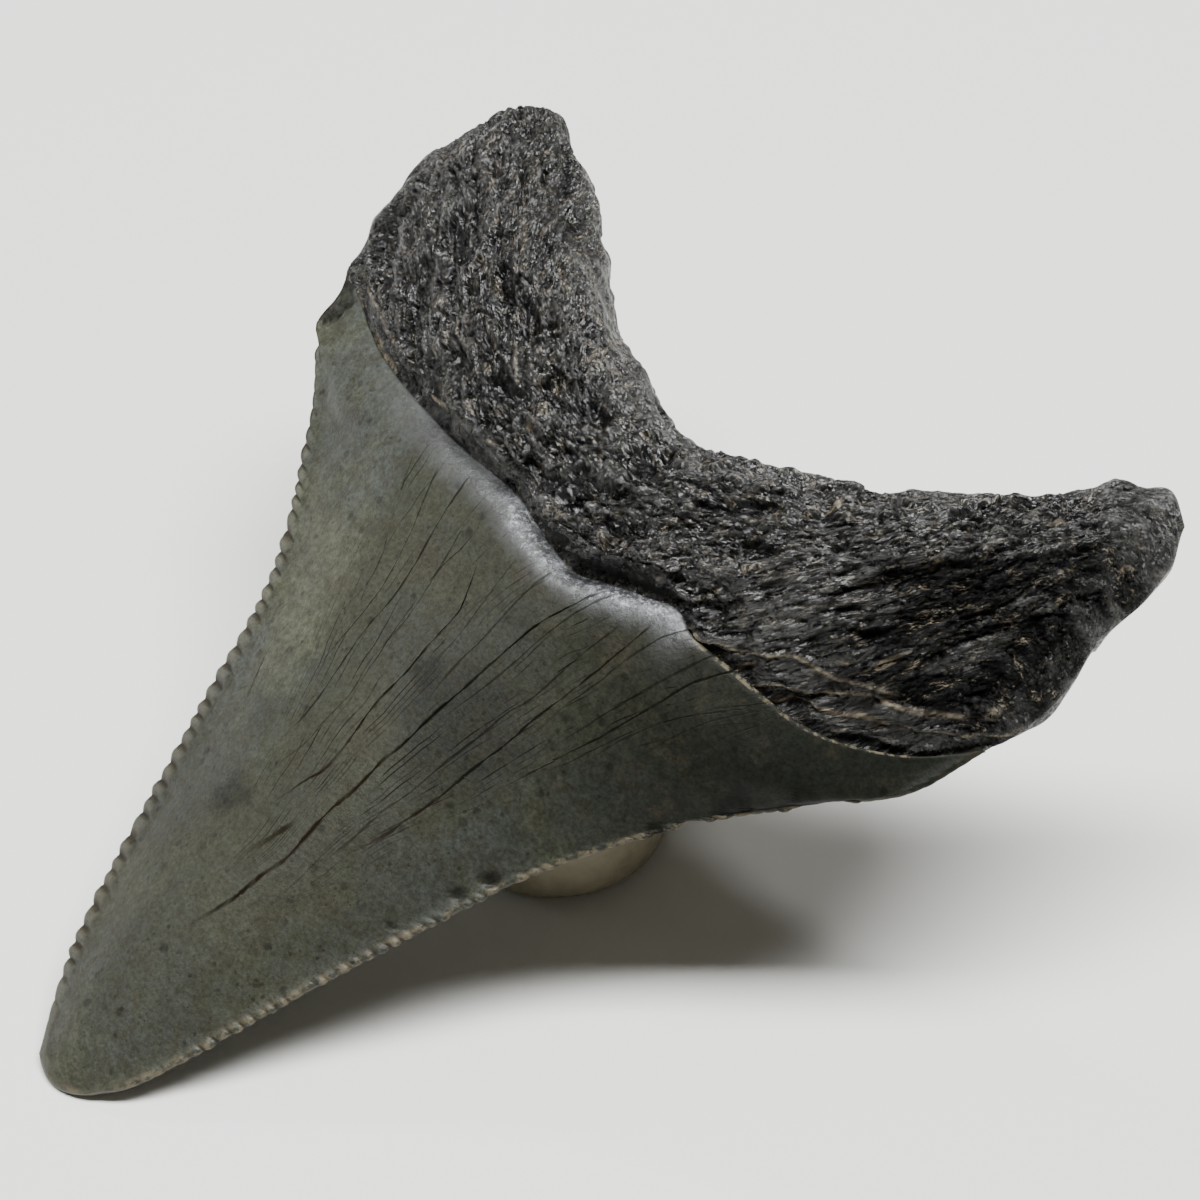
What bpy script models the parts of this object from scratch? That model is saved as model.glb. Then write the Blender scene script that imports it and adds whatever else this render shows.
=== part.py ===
# Fossil megalodon tooth leaning on a short round prop.
# Lengths are in millimetres in the tooth's own frame: x runs across the tooth,
# y from the tip to the root and z out of the bulging inner face. The finished
# meshes are turned into the resting pose and written in metres.

import math

import bmesh
import bpy
from mathutils import Matrix, Vector, noise
from mathutils.bvhtree import BVHTree

# Outline, seen square to the inner face
LEFT_EDGE = [(-2.9, 0.7), (-4.7, 3.8), (-6.7, 8.8), (-9.6, 19.3), (-11.9, 27.3),
             (-16.2, 34.2), (-18.6, 37.2), (-21.0, 39.6), (-21.8, 43.0)]
RIGHT_EDGE = [(1.0, 1.0), (2.9, 3.4), (6.2, 11.2), (9.8, 19.3), (12.3, 24.2),
              (16.8, 30.4), (21.2, 34.7), (24.4, 37.8), (26.0, 41.6)]
LEFT_FLANK = [(-21.8, 43.0), (-22.8, 46.5), (-22.6, 50.5), (-20.9, 54.8)]
RIGHT_FLANK = [(26.0, 41.6), (26.9, 43.4), (27.2, 47.0), (27.4, 51.0), (27.0, 56.4)]
ROOT_ARCH = [(-20.9, 54.8), (-19.0, 57.4), (-15.7, 56.2), (-9.8, 52.2), (-2.8, 47.5),
             (5.0, 45.9), (12.5, 48.4), (19.5, 53.3), (24.2, 57.2), (27.0, 56.4)]
TIP_BULGE = 0.8             # rounding of the worn tip
TIP_BULGE_FADE = 14.0

# Neck line: its dip towards the tip, by share of the way across
NECK_DIP = [(0.0, 0.0), (0.14, -3.0), (0.31, -4.6), (0.44, -5.0), (0.51, -5.9),
            (0.57, -6.6), (0.65, -5.7), (0.76, -5.2), (0.86, -4.9), (0.94, -2.9), (1.0, 0.0)]
NECK_DIP_FADE = 2.2         # how fast the crown's rows straighten towards the tip
OUTER_DIP_SHARE = 0.45      # the outer face's neck line dips this much of the inner one's

# Thickness above and below the mid plane
TIP_HEIGHT = 0.9
NECK_HEIGHT = 5.6
CROWN_SWELL = 1.35          # above 1, the crown thins to a hollow beside the cutting edge
OUTER_TIP_DEPTH = 0.6
OUTER_NECK_DEPTH = 2.9
OUTER_CROWN_SWELL = 2.6
CREST_SHIFT = 0.07          # the crown's ridge leans this far right of the middle at the neck
TIP_ROUND = 18.0
ROOT_HEIGHT = [(0.0, 5.4), (0.16, 6.4), (0.3, 6.4), (0.45, 6.9), (0.57, 7.3),
               (0.7, 6.9), (0.84, 7.2), (1.0, 6.0)]
CENTRE_CREST = 0.15         # the root's crest, by share of the way from neck to arch
LOBE_CREST = 0.6
LOBE_SLOPE = 0.25           # fall of a lobe's top from its crest to the arch
FLANK_ROUND = 3.4
OUTER_FLANK_ROUND = 6.0
ARCH_ROUND = 5.0
OUTER_ROOT_DEPTH = 4.3
OUTER_ROOT_RISE = 0.28
GROOVE_DEPTH = 0.7          # gutter between the enamel's rim and the root
GROOVE_PLACE = 0.05

# Cutting edge
SERRATIONS = 46
BEAD_DEPTH = 0.3
BEAD_POINTS = 4
BEAD_FULLNESS = 0.6
CHIPS = [("right", 0.83, 0.020, 0.55), ("right", 0.69, 0.010, 0.35),
         ("left", 0.965, 0.030, 0.45), ("left", 0.90, 0.012, 0.4)]   # side, place, width, depth

# Lumps of the root's skin, in streaks around the middle of the crown
LUMP_HEIGHT = 0.6
LUMP_CENTRE = (2.0, 30.0)
LUMP_RADIUS = 24.0
COARSE_GRAIN = Vector((0.16, 0.34, 0.3))
FINE_GRAIN = Vector((0.45, 0.8, 0.7))
FINE_SHARE = 0.6

# Mesh
CROWN_COLUMNS = 20
ROOT_COLUMNS = 2 * CROWN_COLUMNS
ROOT_ROWS = 22
FLANK_CROWDING = 0.55
ARCH_CROWDING = 0.6

# Resting pose
HEADING = math.radians(46.3)    # the root points this far right of +Y, seen from above
RISE = math.radians(26.0)
ROLL = math.radians(1.4)

# Prop
PROP_UNDER = (3.3, 34.0)    # point of the tooth's mid plane above the prop's axis
PROP_RADIUS = 6.0
PROP_TOP_RADIUS = 5.6
PROP_ROUNDING = 0.8
PROP_GAP = 0.4
PROP_SIDES = 40
PROP_RINGS = 5

MILLIMETRE = 0.001
FOSSIL_COLOUR = (0.10, 0.105, 0.10)
PUTTY_COLOUR = (0.62, 0.58, 0.48)


def clear_scene():
    for old in list(bpy.data.objects):
        bpy.data.objects.remove(old, do_unlink=True)


def make_material(name, colour, roughness, metallic):
    material = bpy.data.materials.new(name)
    material.use_nodes = True
    shader = material.node_tree.nodes["Principled BSDF"]
    shader.inputs["Base Color"].default_value = (*colour, 1.0)
    shader.inputs["Roughness"].default_value = roughness
    shader.inputs["Metallic"].default_value = metallic
    return material


def mix(first, second, share):
    return first + (second - first) * share


def smooth_step(low, high, value):
    share = min(max((value - low) / (high - low), 0.0), 1.0)
    return share * share * (3.0 - 2.0 * share)


def value_at(points, x):
    """Smoothly joined values, given as (place, value) pairs."""
    for (x0, y0), (x1, y1) in zip(points, points[1:]):
        if x <= x1:
            return mix(y0, y1, smooth_step(x0, x1, x))
    return points[-1][1]


class Curve:
    """Smooth line through points, read by its share of length or by its x."""

    def __init__(self, points, steps=12):
        ends = [Vector(p) for p in points]
        ends = [2 * ends[0] - ends[1]] + ends + [2 * ends[-1] - ends[-2]]
        self.line = [ends[1]]
        for a, b, c, d in zip(ends, ends[1:], ends[2:], ends[3:]):
            for step in range(1, steps + 1):
                t = step / steps
                bend = (2 * a - 5 * b + 4 * c - d) * t + (3 * b - a - 3 * c + d) * t * t
                self.line.append(b + 0.5 * t * (c - a + bend))
        self.lengths = [0.0]
        for a, b in zip(self.line, self.line[1:]):
            self.lengths.append(self.lengths[-1] + (b - a).length)

    def between(self, marks, wanted):
        """Point where the rising list of marks, one for each point, reaches a value."""
        low = 0
        high = len(marks) - 1
        while high - low > 1:
            middle = (low + high) // 2
            if marks[middle] <= wanted:
                low = middle
            else:
                high = middle
        return self.line[low].lerp(self.line[high], (wanted - marks[low]) / (marks[high] - marks[low]))

    def at(self, share):
        return self.between(self.lengths, min(max(share, 0.0), 1.0) * self.lengths[-1])

    def height_at(self, x):
        return self.between([p.x for p in self.line], x).y

    def outward(self, share, side):
        ahead = self.at(share + 0.01) - self.at(share - 0.01)
        turn = Vector((-ahead.y, ahead.x)).normalized()
        return turn if side == "left" else -turn


edges = {"left": Curve(LEFT_EDGE), "right": Curve(RIGHT_EDGE)}
flanks = {"left": Curve(LEFT_FLANK), "right": Curve(RIGHT_FLANK)}
arch = Curve(ROOT_ARCH)
neck_dip = Curve(NECK_DIP)


def edge_point(side, t, bead=0.0):
    """Cutting edge at share t of its length; bead is 0 in a notch and 1 on a bead."""
    worn = smooth_step(0.02, 0.12, t) * (1.0 - 0.5 * smooth_step(0.8, 0.95, t))
    offset = BEAD_DEPTH * worn * bead
    for chip_side, place, width, depth in CHIPS:
        if chip_side == side:
            offset -= depth * math.exp(-((t - place) / width) ** 2)
    return edges[side].at(t) + edges[side].outward(t, side) * offset


def crown_plan(s, t, dip_share):
    """Place on the crown's plan: s across, t from tip to neck."""
    place = edges["left"].at(t).lerp(edges["right"].at(t), s)
    across = 2.0 * s - 1.0
    place.y += dip_share * neck_dip.height_at(s) * t ** NECK_DIP_FADE
    place.y -= TIP_BULGE * (1.0 - across * across) * (1.0 - t) ** TIP_BULGE_FADE
    return place


def flank_bow(side, u):
    """How far a flank bows from the straight line between its ends."""
    curve = flanks[side]
    return curve.at(u) - curve.at(0.0).lerp(curve.at(1.0), u)


def root_plan(s, u, dip_share):
    """Place on the root's plan: s across, u from neck to basal arch."""
    place = crown_plan(s, 1.0, dip_share).lerp(arch.at(s), u)
    return place + (1.0 - s) * flank_bow("left", u) + s * flank_bow("right", u)


def crown_height(s, t, inner):
    ridge = 0.5 + CREST_SHIFT * t
    w = abs(s - ridge) / (ridge if s < ridge else 1.0 - ridge)
    tip_round = (1.0 - (1.0 - t) ** TIP_ROUND) ** 0.5
    if inner:
        rise = mix(TIP_HEIGHT, NECK_HEIGHT, t ** 0.85)
        return rise * tip_round * max(1.0 - w * w, 0.0) ** CROWN_SWELL
    depth = mix(OUTER_TIP_DEPTH, OUTER_NECK_DEPTH, t ** 0.8)
    return -depth * tip_round * max(1.0 - w ** OUTER_CROWN_SWELL, 0.0)


def root_height(s, u, inner):
    w = abs(2.0 * s - 1.0)
    arch_round = max(1.0 - u ** ARCH_ROUND, 0.0) ** 0.5
    neck = crown_height(s, 1.0, inner)
    if inner:
        crest = mix(CENTRE_CREST, LOBE_CREST, smooth_step(0.25, 0.7, w))
        rise = 1.0 - (1.0 - min(u / crest, 1.0)) ** 1.6
        flank_round = max(1.0 - w ** FLANK_ROUND, 0.0) ** 0.75
        slope = 1.0 - LOBE_SLOPE * smooth_step(LOBE_CREST, 1.0, u) * smooth_step(0.3, 0.8, w)
        full = value_at(ROOT_HEIGHT, s) * flank_round * slope
        gutter = math.exp(-((u - GROOVE_PLACE) / GROOVE_PLACE) ** 2) * (1.0 - w) ** 0.5
        return mix(neck, full, rise) * arch_round - GROOVE_DEPTH * gutter
    flank_round = max(1.0 - w ** OUTER_FLANK_ROUND, 0.0) ** 0.5
    rise = smooth_step(0.0, OUTER_ROOT_RISE, u)
    return mix(neck, -OUTER_ROOT_DEPTH * flank_round, rise) * arch_round


def column_places():
    """Columns across the root, closer together at its rounded flanks."""
    even = [k / ROOT_COLUMNS for k in range(ROOT_COLUMNS + 1)]
    return [mix(s, 0.5 - 0.5 * math.cos(math.pi * s), FLANK_CROWDING) for s in even]


def row_places():
    """Rows up the root, closer together at its rounded arch."""
    even = [j / ROOT_ROWS for j in range(1, ROOT_ROWS + 1)]
    return [mix(u, math.sin(0.5 * math.pi * u), ARCH_CROWDING) for u in even]


def rim_point(mesh, rim, key, point):
    """Point of the outline, made once and shared by both faces."""
    if key not in rim:
        rim[key] = mesh.verts.new((point.x, point.y, 0.0))
    return rim[key]


def crown_row(mesh, rim, row, inner):
    """Points across the crown; the neck's row has the root's finer columns."""
    t = row / SERRATIONS
    dip_share = 1.0 if inner else OUTER_DIP_SHARE
    made = []
    for k, s in enumerate(column_places()):
        if k % 2 and row < SERRATIONS:
            continue
        if row and k in (0, ROOT_COLUMNS):
            side = "left" if k == 0 else "right"
            made.append(rim_point(mesh, rim, (side, row, 0), edge_point(side, t)))
        elif row == 0:
            made.append(rim_point(mesh, rim, ("tip", k), crown_plan(s, t, dip_share)))
        else:
            point = crown_plan(s, t, dip_share)
            made.append(mesh.verts.new((point.x, point.y, crown_height(s, t, inner))))
    return made


def root_row(mesh, rim, row, u, inner):
    """Points across the root; its last row is the arch."""
    dip_share = 1.0 if inner else OUTER_DIP_SHARE
    made = []
    for k, s in enumerate(column_places()):
        point = root_plan(s, u, dip_share)
        if row == ROOT_ROWS or k in (0, ROOT_COLUMNS):
            made.append(rim_point(mesh, rim, ("root", row, k), point))
        else:
            made.append(mesh.verts.new((point.x, point.y, root_height(s, u, inner))))
    return made


def bead_points(mesh, rim, side, row):
    """Points of the bead between the serration notches row and row + 1."""
    made = []
    for step in range(1, BEAD_POINTS):
        phase = step / BEAD_POINTS
        bead = math.sin(math.pi * phase) ** BEAD_FULLNESS
        point = edge_point(side, (row + phase) / SERRATIONS, bead)
        made.append(rim_point(mesh, rim, (side, row, step), point))
    return made


def add_fan(mesh, centre, others, inner):
    for first, second in zip(others, others[1:]):
        corners = (centre, first, second) if inner else (second, first, centre)
        mesh.faces.new(corners).smooth = True


def skin_crown(mesh, rim, rows, inner):
    """Fans that start inside the outline, so that the two faces share no inner line."""
    last = CROWN_COLUMNS - 1
    for i, (low, high) in enumerate(zip(rows, rows[1:])):
        at_neck = i == SERRATIONS - 1
        for k in range(CROWN_COLUMNS):
            bottom = [low[k], low[k + 1]]
            top = high[2 * k:2 * k + 3][::-1] if at_neck else high[k:k + 2][::-1]
            if k == 0:
                beads = bead_points(mesh, rim, "left", i)[::-1]
                if at_neck:
                    add_fan(mesh, bottom[1], top + beads + bottom[:1], inner)
                else:
                    add_fan(mesh, top[0], top[1:] + beads + bottom, inner)
            elif k == last:
                beads = bead_points(mesh, rim, "right", i)
                if at_neck:
                    add_fan(mesh, bottom[0], bottom[1:] + beads + top, inner)
                else:
                    add_fan(mesh, top[1], bottom + beads + top[:1], inner)
            else:
                add_fan(mesh, bottom[0], bottom[1:] + top, inner)


def skin_root(mesh, rows, inner):
    for low, high in zip(rows, rows[1:]):
        for k in range(ROOT_COLUMNS):
            if k < CROWN_COLUMNS:
                add_fan(mesh, low[k + 1], [high[k + 1], high[k], low[k]], inner)
            else:
                add_fan(mesh, low[k], [low[k + 1], high[k + 1], high[k]], inner)


def lump_root(mesh, points):
    """Push the root's skin in and out, in streaks that follow its lobes."""
    mesh.normal_update()
    moves = []
    for point in points:
        x = point.co.x - LUMP_CENTRE[0]
        y = point.co.y - LUMP_CENTRE[1]
        spot = Vector((math.atan2(y, x) * LUMP_RADIUS, math.hypot(x, y), point.co.z))
        lump = noise.noise(spot * COARSE_GRAIN) + FINE_SHARE * noise.noise(spot * FINE_GRAIN)
        moves.append(point.normal * LUMP_HEIGHT * lump)
    for point, move in zip(points, moves):
        point.co += move


def build_tooth():
    """Crown and root as one closed skin, in the tooth's own frame."""
    mesh = bmesh.new()
    rim = {}
    root_points = {}
    for inner in (True, False):
        crown_rows = [crown_row(mesh, rim, row, inner) for row in range(SERRATIONS + 1)]
        root_rows = [crown_rows[-1]]
        for row, u in enumerate(row_places(), 1):
            root_rows.append(root_row(mesh, rim, row, u, inner))
        skin_crown(mesh, rim, crown_rows, inner)
        skin_root(mesh, root_rows, inner)
        for row in root_rows[2:]:
            root_points.update(dict.fromkeys(row))
    bmesh.ops.recalc_face_normals(mesh, faces=mesh.faces[:])
    lump_root(mesh, list(root_points))
    return mesh


def resting_pose(mesh):
    """Turn from the tooth's own frame to the pose, with the tip on the floor."""
    turn = (Matrix.Rotation(-HEADING, 4, "Z") @ Matrix.Rotation(RISE, 4, "X")
            @ Matrix.Rotation(ROLL, 4, "Y"))
    lowest = min((turn @ v.co).z for v in mesh.verts)
    return Matrix.Translation((0.0, 0.0, -lowest)) @ turn


def build_prop(tooth, centre):
    """Round stub with a flat base, whose top follows the tooth's outer face."""
    tree = BVHTree.FromBMesh(tooth)
    mesh = bmesh.new()
    up = Vector((0.0, 0.0, 1.0))

    def top_point(x, y):
        under_tooth = tree.ray_cast(Vector((x, y, 0.0)) - up, up)[0]
        return mesh.verts.new((x, y, under_tooth.z - PROP_GAP))

    def ring(radius, height=None):
        made = []
        for side in range(PROP_SIDES):
            angle = 2.0 * math.pi * side / PROP_SIDES
            x = centre.x + radius * math.cos(angle)
            y = centre.y + radius * math.sin(angle)
            made.append(top_point(x, y) if height is None else mesh.verts.new((x, y, height)))
        return made

    rounded = 0.3 * PROP_ROUNDING
    rings = [ring(PROP_RADIUS - PROP_ROUNDING, 0.0), ring(PROP_RADIUS - rounded, rounded),
             ring(PROP_RADIUS, PROP_ROUNDING)]
    rings += [ring(PROP_TOP_RADIUS * (1.0 - step / PROP_RINGS)) for step in range(PROP_RINGS)]
    peak = top_point(centre.x, centre.y)
    mesh.faces.new(rings[0][::-1])
    for low, high in zip(rings, rings[1:]):
        for k in range(PROP_SIDES):
            after = (k + 1) % PROP_SIDES
            mesh.faces.new((low[k], low[after], high[after], high[k])).smooth = True
    for k in range(PROP_SIDES):
        mesh.faces.new((rings[-1][k], rings[-1][(k + 1) % PROP_SIDES], peak)).smooth = True
    return mesh


def add_object(name, mesh, material):
    data = bpy.data.meshes.new(name)
    mesh.to_mesh(data)
    mesh.free()
    data.materials.append(material)
    thing = bpy.data.objects.new(name, data)
    bpy.context.scene.collection.objects.link(thing)


def main():
    clear_scene()
    tooth = build_tooth()
    pose = resting_pose(tooth)
    tooth.transform(pose)
    prop = build_prop(tooth, pose @ Vector((*PROP_UNDER, 0.0)))
    spots = [v.co for v in tooth.verts] + [v.co for v in prop.verts]
    middle = Vector((0.5 * (min(c.x for c in spots) + max(c.x for c in spots)),
                     0.5 * (min(c.y for c in spots) + max(c.y for c in spots)), 0.0))
    settle = Matrix.Scale(MILLIMETRE, 4) @ Matrix.Translation(-middle)
    for mesh in (tooth, prop):
        mesh.transform(settle)
    add_object("tooth", tooth, make_material("fossil", FOSSIL_COLOUR, 0.42, 0.0))
    add_object("prop", prop, make_material("putty", PUTTY_COLOUR, 0.6, 0.0))


main()
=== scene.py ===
# Looks of a fossil megalodon tooth that leans on a short round prop.
# The tooth is worked out in millimetres in its own frame: x runs across it, y from
# the tip to the root and z out of the bulging inner face. Crown and root are turned
# into the resting pose once both are made, and the prop is then fitted under them.

import math

import bpy
import numpy as np
from mathutils import Matrix, Vector, noise
from mathutils.bvhtree import BVHTree


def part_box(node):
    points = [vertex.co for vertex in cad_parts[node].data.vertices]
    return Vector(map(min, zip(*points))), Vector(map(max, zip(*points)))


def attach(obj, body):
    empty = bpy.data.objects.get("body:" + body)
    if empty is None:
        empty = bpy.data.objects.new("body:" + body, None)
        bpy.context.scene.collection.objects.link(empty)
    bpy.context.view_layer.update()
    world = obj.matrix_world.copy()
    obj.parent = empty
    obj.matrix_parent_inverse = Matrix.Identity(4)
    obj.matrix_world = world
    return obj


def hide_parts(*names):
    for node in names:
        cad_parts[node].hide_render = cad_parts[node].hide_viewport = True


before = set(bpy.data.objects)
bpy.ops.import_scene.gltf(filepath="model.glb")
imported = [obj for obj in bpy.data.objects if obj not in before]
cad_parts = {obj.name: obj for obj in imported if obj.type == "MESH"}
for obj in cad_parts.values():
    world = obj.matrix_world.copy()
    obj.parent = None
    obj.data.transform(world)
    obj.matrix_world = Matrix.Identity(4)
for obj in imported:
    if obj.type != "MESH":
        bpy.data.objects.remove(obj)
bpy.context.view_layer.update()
print("frame loaded")

millimetre = 0.001


def mixed(first, second, share):
    return first + (second - first) * share


def eased(low, high, value):
    share = np.clip((value - low) / (high - low), 0.0, 1.0)
    return share * share * (3.0 - 2.0 * share)


def hump(value, middle, width):
    return np.exp(-((value - middle) / width) ** 2)


def lineThrough(points, steps=24):
    # smooth line through the points, with each place's share of its length
    p = np.array(points, float)
    ends = np.vstack([2 * p[0] - p[1], p, 2 * p[-1] - p[-2]])
    t = (np.arange(1, steps + 1) / steps)[:, None]
    rows = [ends[1][None]]
    for a, b, c, d in zip(ends, ends[1:], ends[2:], ends[3:]):
        rows.append(b + 0.5 * t * (c - a + (2 * a - 5 * b + 4 * c - d) * t
                                   + (3 * b - a - 3 * c + d) * t * t))
    line = np.vstack(rows)
    run = np.concatenate([[0.0], np.cumsum(np.hypot(*np.diff(line, axis=0).T))])
    return {"x": line[:, 0], "y": line[:, 1], "share": run / run[-1], "length": run[-1]}


def placeOn(line, share):
    return np.stack([np.interp(share, line["share"], line["x"]),
                     np.interp(share, line["share"], line["y"])], -1)


def cellNumber(cells, seed):
    # repeatable number from 0 to 1 for each whole-numbered cell
    c = cells.astype(np.int64)
    h = (c[..., 0] * 73856093) ^ (c[..., 1] * 19349663) ^ (c[..., 2] * 83492791) ^ (seed * 26544357)
    h = ((h ^ (h >> 13)) * 1274126177) & 0x7FFFFFFF
    h = ((h ^ (h >> 15)) * 668265263) & 0x7FFFFFFF
    return ((h ^ (h >> 12)) & 0xFFFFF) / 0xFFFFF


def cloud(spots, seed):
    # smooth random field from -1 to 1
    base = np.floor(spots)
    part = spots - base
    part = part * part * part * (part * (part * 6 - 15) + 10)
    total = 0.0
    for dx in (0, 1):
        for dy in (0, 1):
            for dz in (0, 1):
                weight = ((part[..., 0] if dx else 1 - part[..., 0])
                          * (part[..., 1] if dy else 1 - part[..., 1])
                          * (part[..., 2] if dz else 1 - part[..., 2]))
                total = total + weight * cellNumber(base + (dx, dy, dz), seed)
    return 2.0 * total - 1.0


def plates(spots, seed):
    # tilted flakes: height of the flake, gap to the next flake, and its random number
    base = np.floor(spots)
    nearest = np.full(spots.shape[:-1], 9.0)
    second = nearest.copy()
    height = np.zeros_like(nearest)
    lot = np.zeros_like(nearest)
    for dx in (-1, 0, 1):
        for dy in (-1, 0, 1):
            for dz in (-1, 0, 1):
                cell = base + (dx, dy, dz)
                numbers = [cellNumber(cell, seed + k) for k in range(6)]
                away = spots - cell - np.stack(numbers[:3], -1)
                far = (away ** 2).sum(-1)
                tilt = ((numbers[3] - 0.5) * away[..., 0] * 0.8 + (numbers[4] - 0.5) * away[..., 1] * 1.8
                        + (numbers[5] - 0.5) * away[..., 2] * 1.8 + 0.45 * away[..., 1] + numbers[3] - 0.5)
                closer = far < nearest
                second = np.where(closer, nearest, np.minimum(second, far))
                nearest = np.where(closer, far, nearest)
                height = np.where(closer, tilt, height)
                lot = np.where(closer, numbers[5], lot)
    return height, np.sqrt(second) - np.sqrt(nearest), lot


# plan and section of the tooth; the neckline and the outer flanks are drawn a little
# more exactly than in the solid
toothForm = {
    "leftEdge": [(-2.9, 0.7), (-4.7, 3.8), (-6.7, 8.8), (-9.6, 19.3), (-11.9, 27.3),
                 (-16.2, 34.2), (-18.6, 37.2), (-21.0, 39.6), (-21.8, 43.0)],
    "rightEdge": [(1.0, 1.0), (2.9, 3.4), (6.2, 11.2), (9.8, 19.3), (12.3, 24.2),
                  (16.8, 30.4), (21.2, 34.7), (24.4, 37.8), (26.0, 41.6)],
    "leftFlank": [(-21.8, 43.0), (-22.8, 46.5), (-22.6, 50.5), (-20.9, 54.8)],
    "rightFlank": [(26.0, 41.6), (26.9, 43.4), (27.2, 47.0), (27.4, 51.0), (27.0, 56.4)],
    "arch": [(-20.9, 54.8), (-19.0, 57.4), (-15.7, 56.2), (-9.8, 52.2), (-2.8, 47.5),
             (5.0, 45.9), (12.5, 48.4), (19.5, 53.3), (24.2, 57.2), (27.0, 56.4)],
    "neckDip": [(0.0, 0.0), (0.14, -3.0), (0.31, -4.6), (0.44, -5.0), (0.51, -5.9),
                (0.56, -6.35), (0.60, -5.8), (0.645, -5.15), (0.68, -4.65), (0.712, -5.2), (0.76, -5.2),
                (0.86, -4.9), (0.94, -2.9), (1.0, 0.0)],
    "neckDipFade": 2.2,
    "outerDipShare": 0.45,
    "tipBulge": 0.8,
    "tipBulgeFade": 14.0,
    "tipHeight": 0.9,
    "neckHeight": 5.6,
    "crownSwell": 1.35,
    "outerTipDepth": 0.6,
    "outerNeckDepth": 2.9,
    "outerCrownSwell": 2.6,
    "crestShift": 0.07,
    "tipRound": 18.0,
    "rootHeight": [(0.0, 5.4), (0.16, 6.4), (0.3, 6.4), (0.45, 6.9), (0.57, 7.3),
                   (0.7, 6.9), (0.84, 7.2), (1.0, 6.0)],
    "centreCrest": 0.15,
    "lobeCrest": 0.6,
    "lobeSlope": 0.25,
    "flankRound": 3.4,
    "outerFlankRound": 4.0,
    "archRound": 5.0,
    "outerRootDepth": 4.3,
    "outerRootRise": 0.28,
    "lumpHeight": 0.6,
    "heading": 46.3,            # degrees
    "rise": 26.0,
    "roll": 1.4,
}

edgeLines = {"left": lineThrough(toothForm["leftEdge"]), "right": lineThrough(toothForm["rightEdge"])}
flankLines = {"left": lineThrough(toothForm["leftFlank"]), "right": lineThrough(toothForm["rightFlank"])}
archLine = lineThrough(toothForm["arch"])
dipLine = lineThrough(toothForm["neckDip"])


def outwardOf(side, t):
    ahead = placeOn(edgeLines[side], t + 0.01) - placeOn(edgeLines[side], t - 0.01)
    turned = np.stack([-ahead[..., 1], ahead[..., 0]], -1)
    turned /= np.linalg.norm(turned, axis=-1, keepdims=True)
    return turned if side == "left" else -turned


def crownPlan(s, t, dipShare):
    place = mixed(placeOn(edgeLines["left"], t), placeOn(edgeLines["right"], t), s[..., None])
    across = 2.0 * s - 1.0
    dip = dipShare * np.interp(s, dipLine["x"], dipLine["y"]) * t ** toothForm["neckDipFade"]
    bulge = toothForm["tipBulge"] * (1 - across ** 2) * np.clip(1 - t, 0, 1) ** toothForm["tipBulgeFade"]
    place[..., 1] += dip - bulge
    return place


def flankBow(side, u):
    ends = placeOn(flankLines[side], np.array([0.0, 1.0]))
    bow = placeOn(flankLines[side], u) - mixed(ends[0], ends[1], u[..., None])
    return np.where(u[..., None] > 0, bow, 0.0)


def rootPlan(s, u, dipShare):
    place = mixed(crownPlan(s, np.ones_like(s), dipShare), placeOn(archLine, s), u[..., None])
    return place + (1 - s)[..., None] * flankBow("left", u) + s[..., None] * flankBow("right", u)


def crownHeight(s, t, inner):
    ridge = 0.5 + toothForm["crestShift"] * t
    w = np.abs(s - ridge) / np.where(s < ridge, ridge, 1.0 - ridge)
    tipRound = (1.0 - np.clip(1.0 - t, 0, 1) ** toothForm["tipRound"]) ** 0.5
    if inner:
        rise = mixed(toothForm["tipHeight"], toothForm["neckHeight"], t ** 0.85)
        return rise * tipRound * np.clip(1.0 - w * w, 0, 1) ** toothForm["crownSwell"]
    depth = mixed(toothForm["outerTipDepth"], toothForm["outerNeckDepth"], t ** 0.8)
    return -depth * tipRound * np.clip(1.0 - w ** toothForm["outerCrownSwell"], 0, 1)


def easedThrough(pairs, s):
    made = np.full_like(s, pairs[-1][1])
    for (x0, y0), (x1, y1) in reversed(list(zip(pairs, pairs[1:]))):
        made = np.where(s <= x1, mixed(y0, y1, eased(x0, x1, s)), made)
    return made


def rootHeight(s, u, inner):
    w = np.abs(2.0 * s - 1.0)
    u = np.clip(u, 0, 1)
    archRound = np.clip(1.0 - u ** toothForm["archRound"], 0, 1) ** 0.5
    neck = crownHeight(s, np.ones_like(s), inner)
    if inner:
        crest = mixed(toothForm["centreCrest"], toothForm["lobeCrest"], eased(0.25, 0.7, w))
        rise = 1.0 - (1.0 - np.minimum(u / crest, 1.0)) ** 1.6
        flankRound = np.clip(1.0 - w ** toothForm["flankRound"], 0, 1) ** 0.75
        slope = 1 - toothForm["lobeSlope"] * eased(toothForm["lobeCrest"], 1, u) * eased(0.3, 0.8, w)
        full = easedThrough(toothForm["rootHeight"], s) * flankRound * slope
        return mixed(neck, full, rise) * archRound
    flankRound = np.clip(1.0 - w ** toothForm["outerFlankRound"], 0, 1) ** 0.5
    rise = eased(0.0, toothForm["outerRootRise"], u)
    return mixed(neck, -toothForm["outerRootDepth"] * flankRound, rise) * archRound


def restingTurn():
    return (Matrix.Rotation(-math.radians(toothForm["heading"]), 4, "Z")
            @ Matrix.Rotation(math.radians(toothForm["rise"]), 4, "X")
            @ Matrix.Rotation(math.radians(toothForm["roll"]), 4, "Y"))


def gridQuads(ids, inner):
    quads = np.stack([ids[:-1, :-1], ids[:-1, 1:], ids[1:, 1:], ids[1:, :-1]], -1).reshape(-1, 4)
    return quads if inner else quads[:, ::-1]


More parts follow.
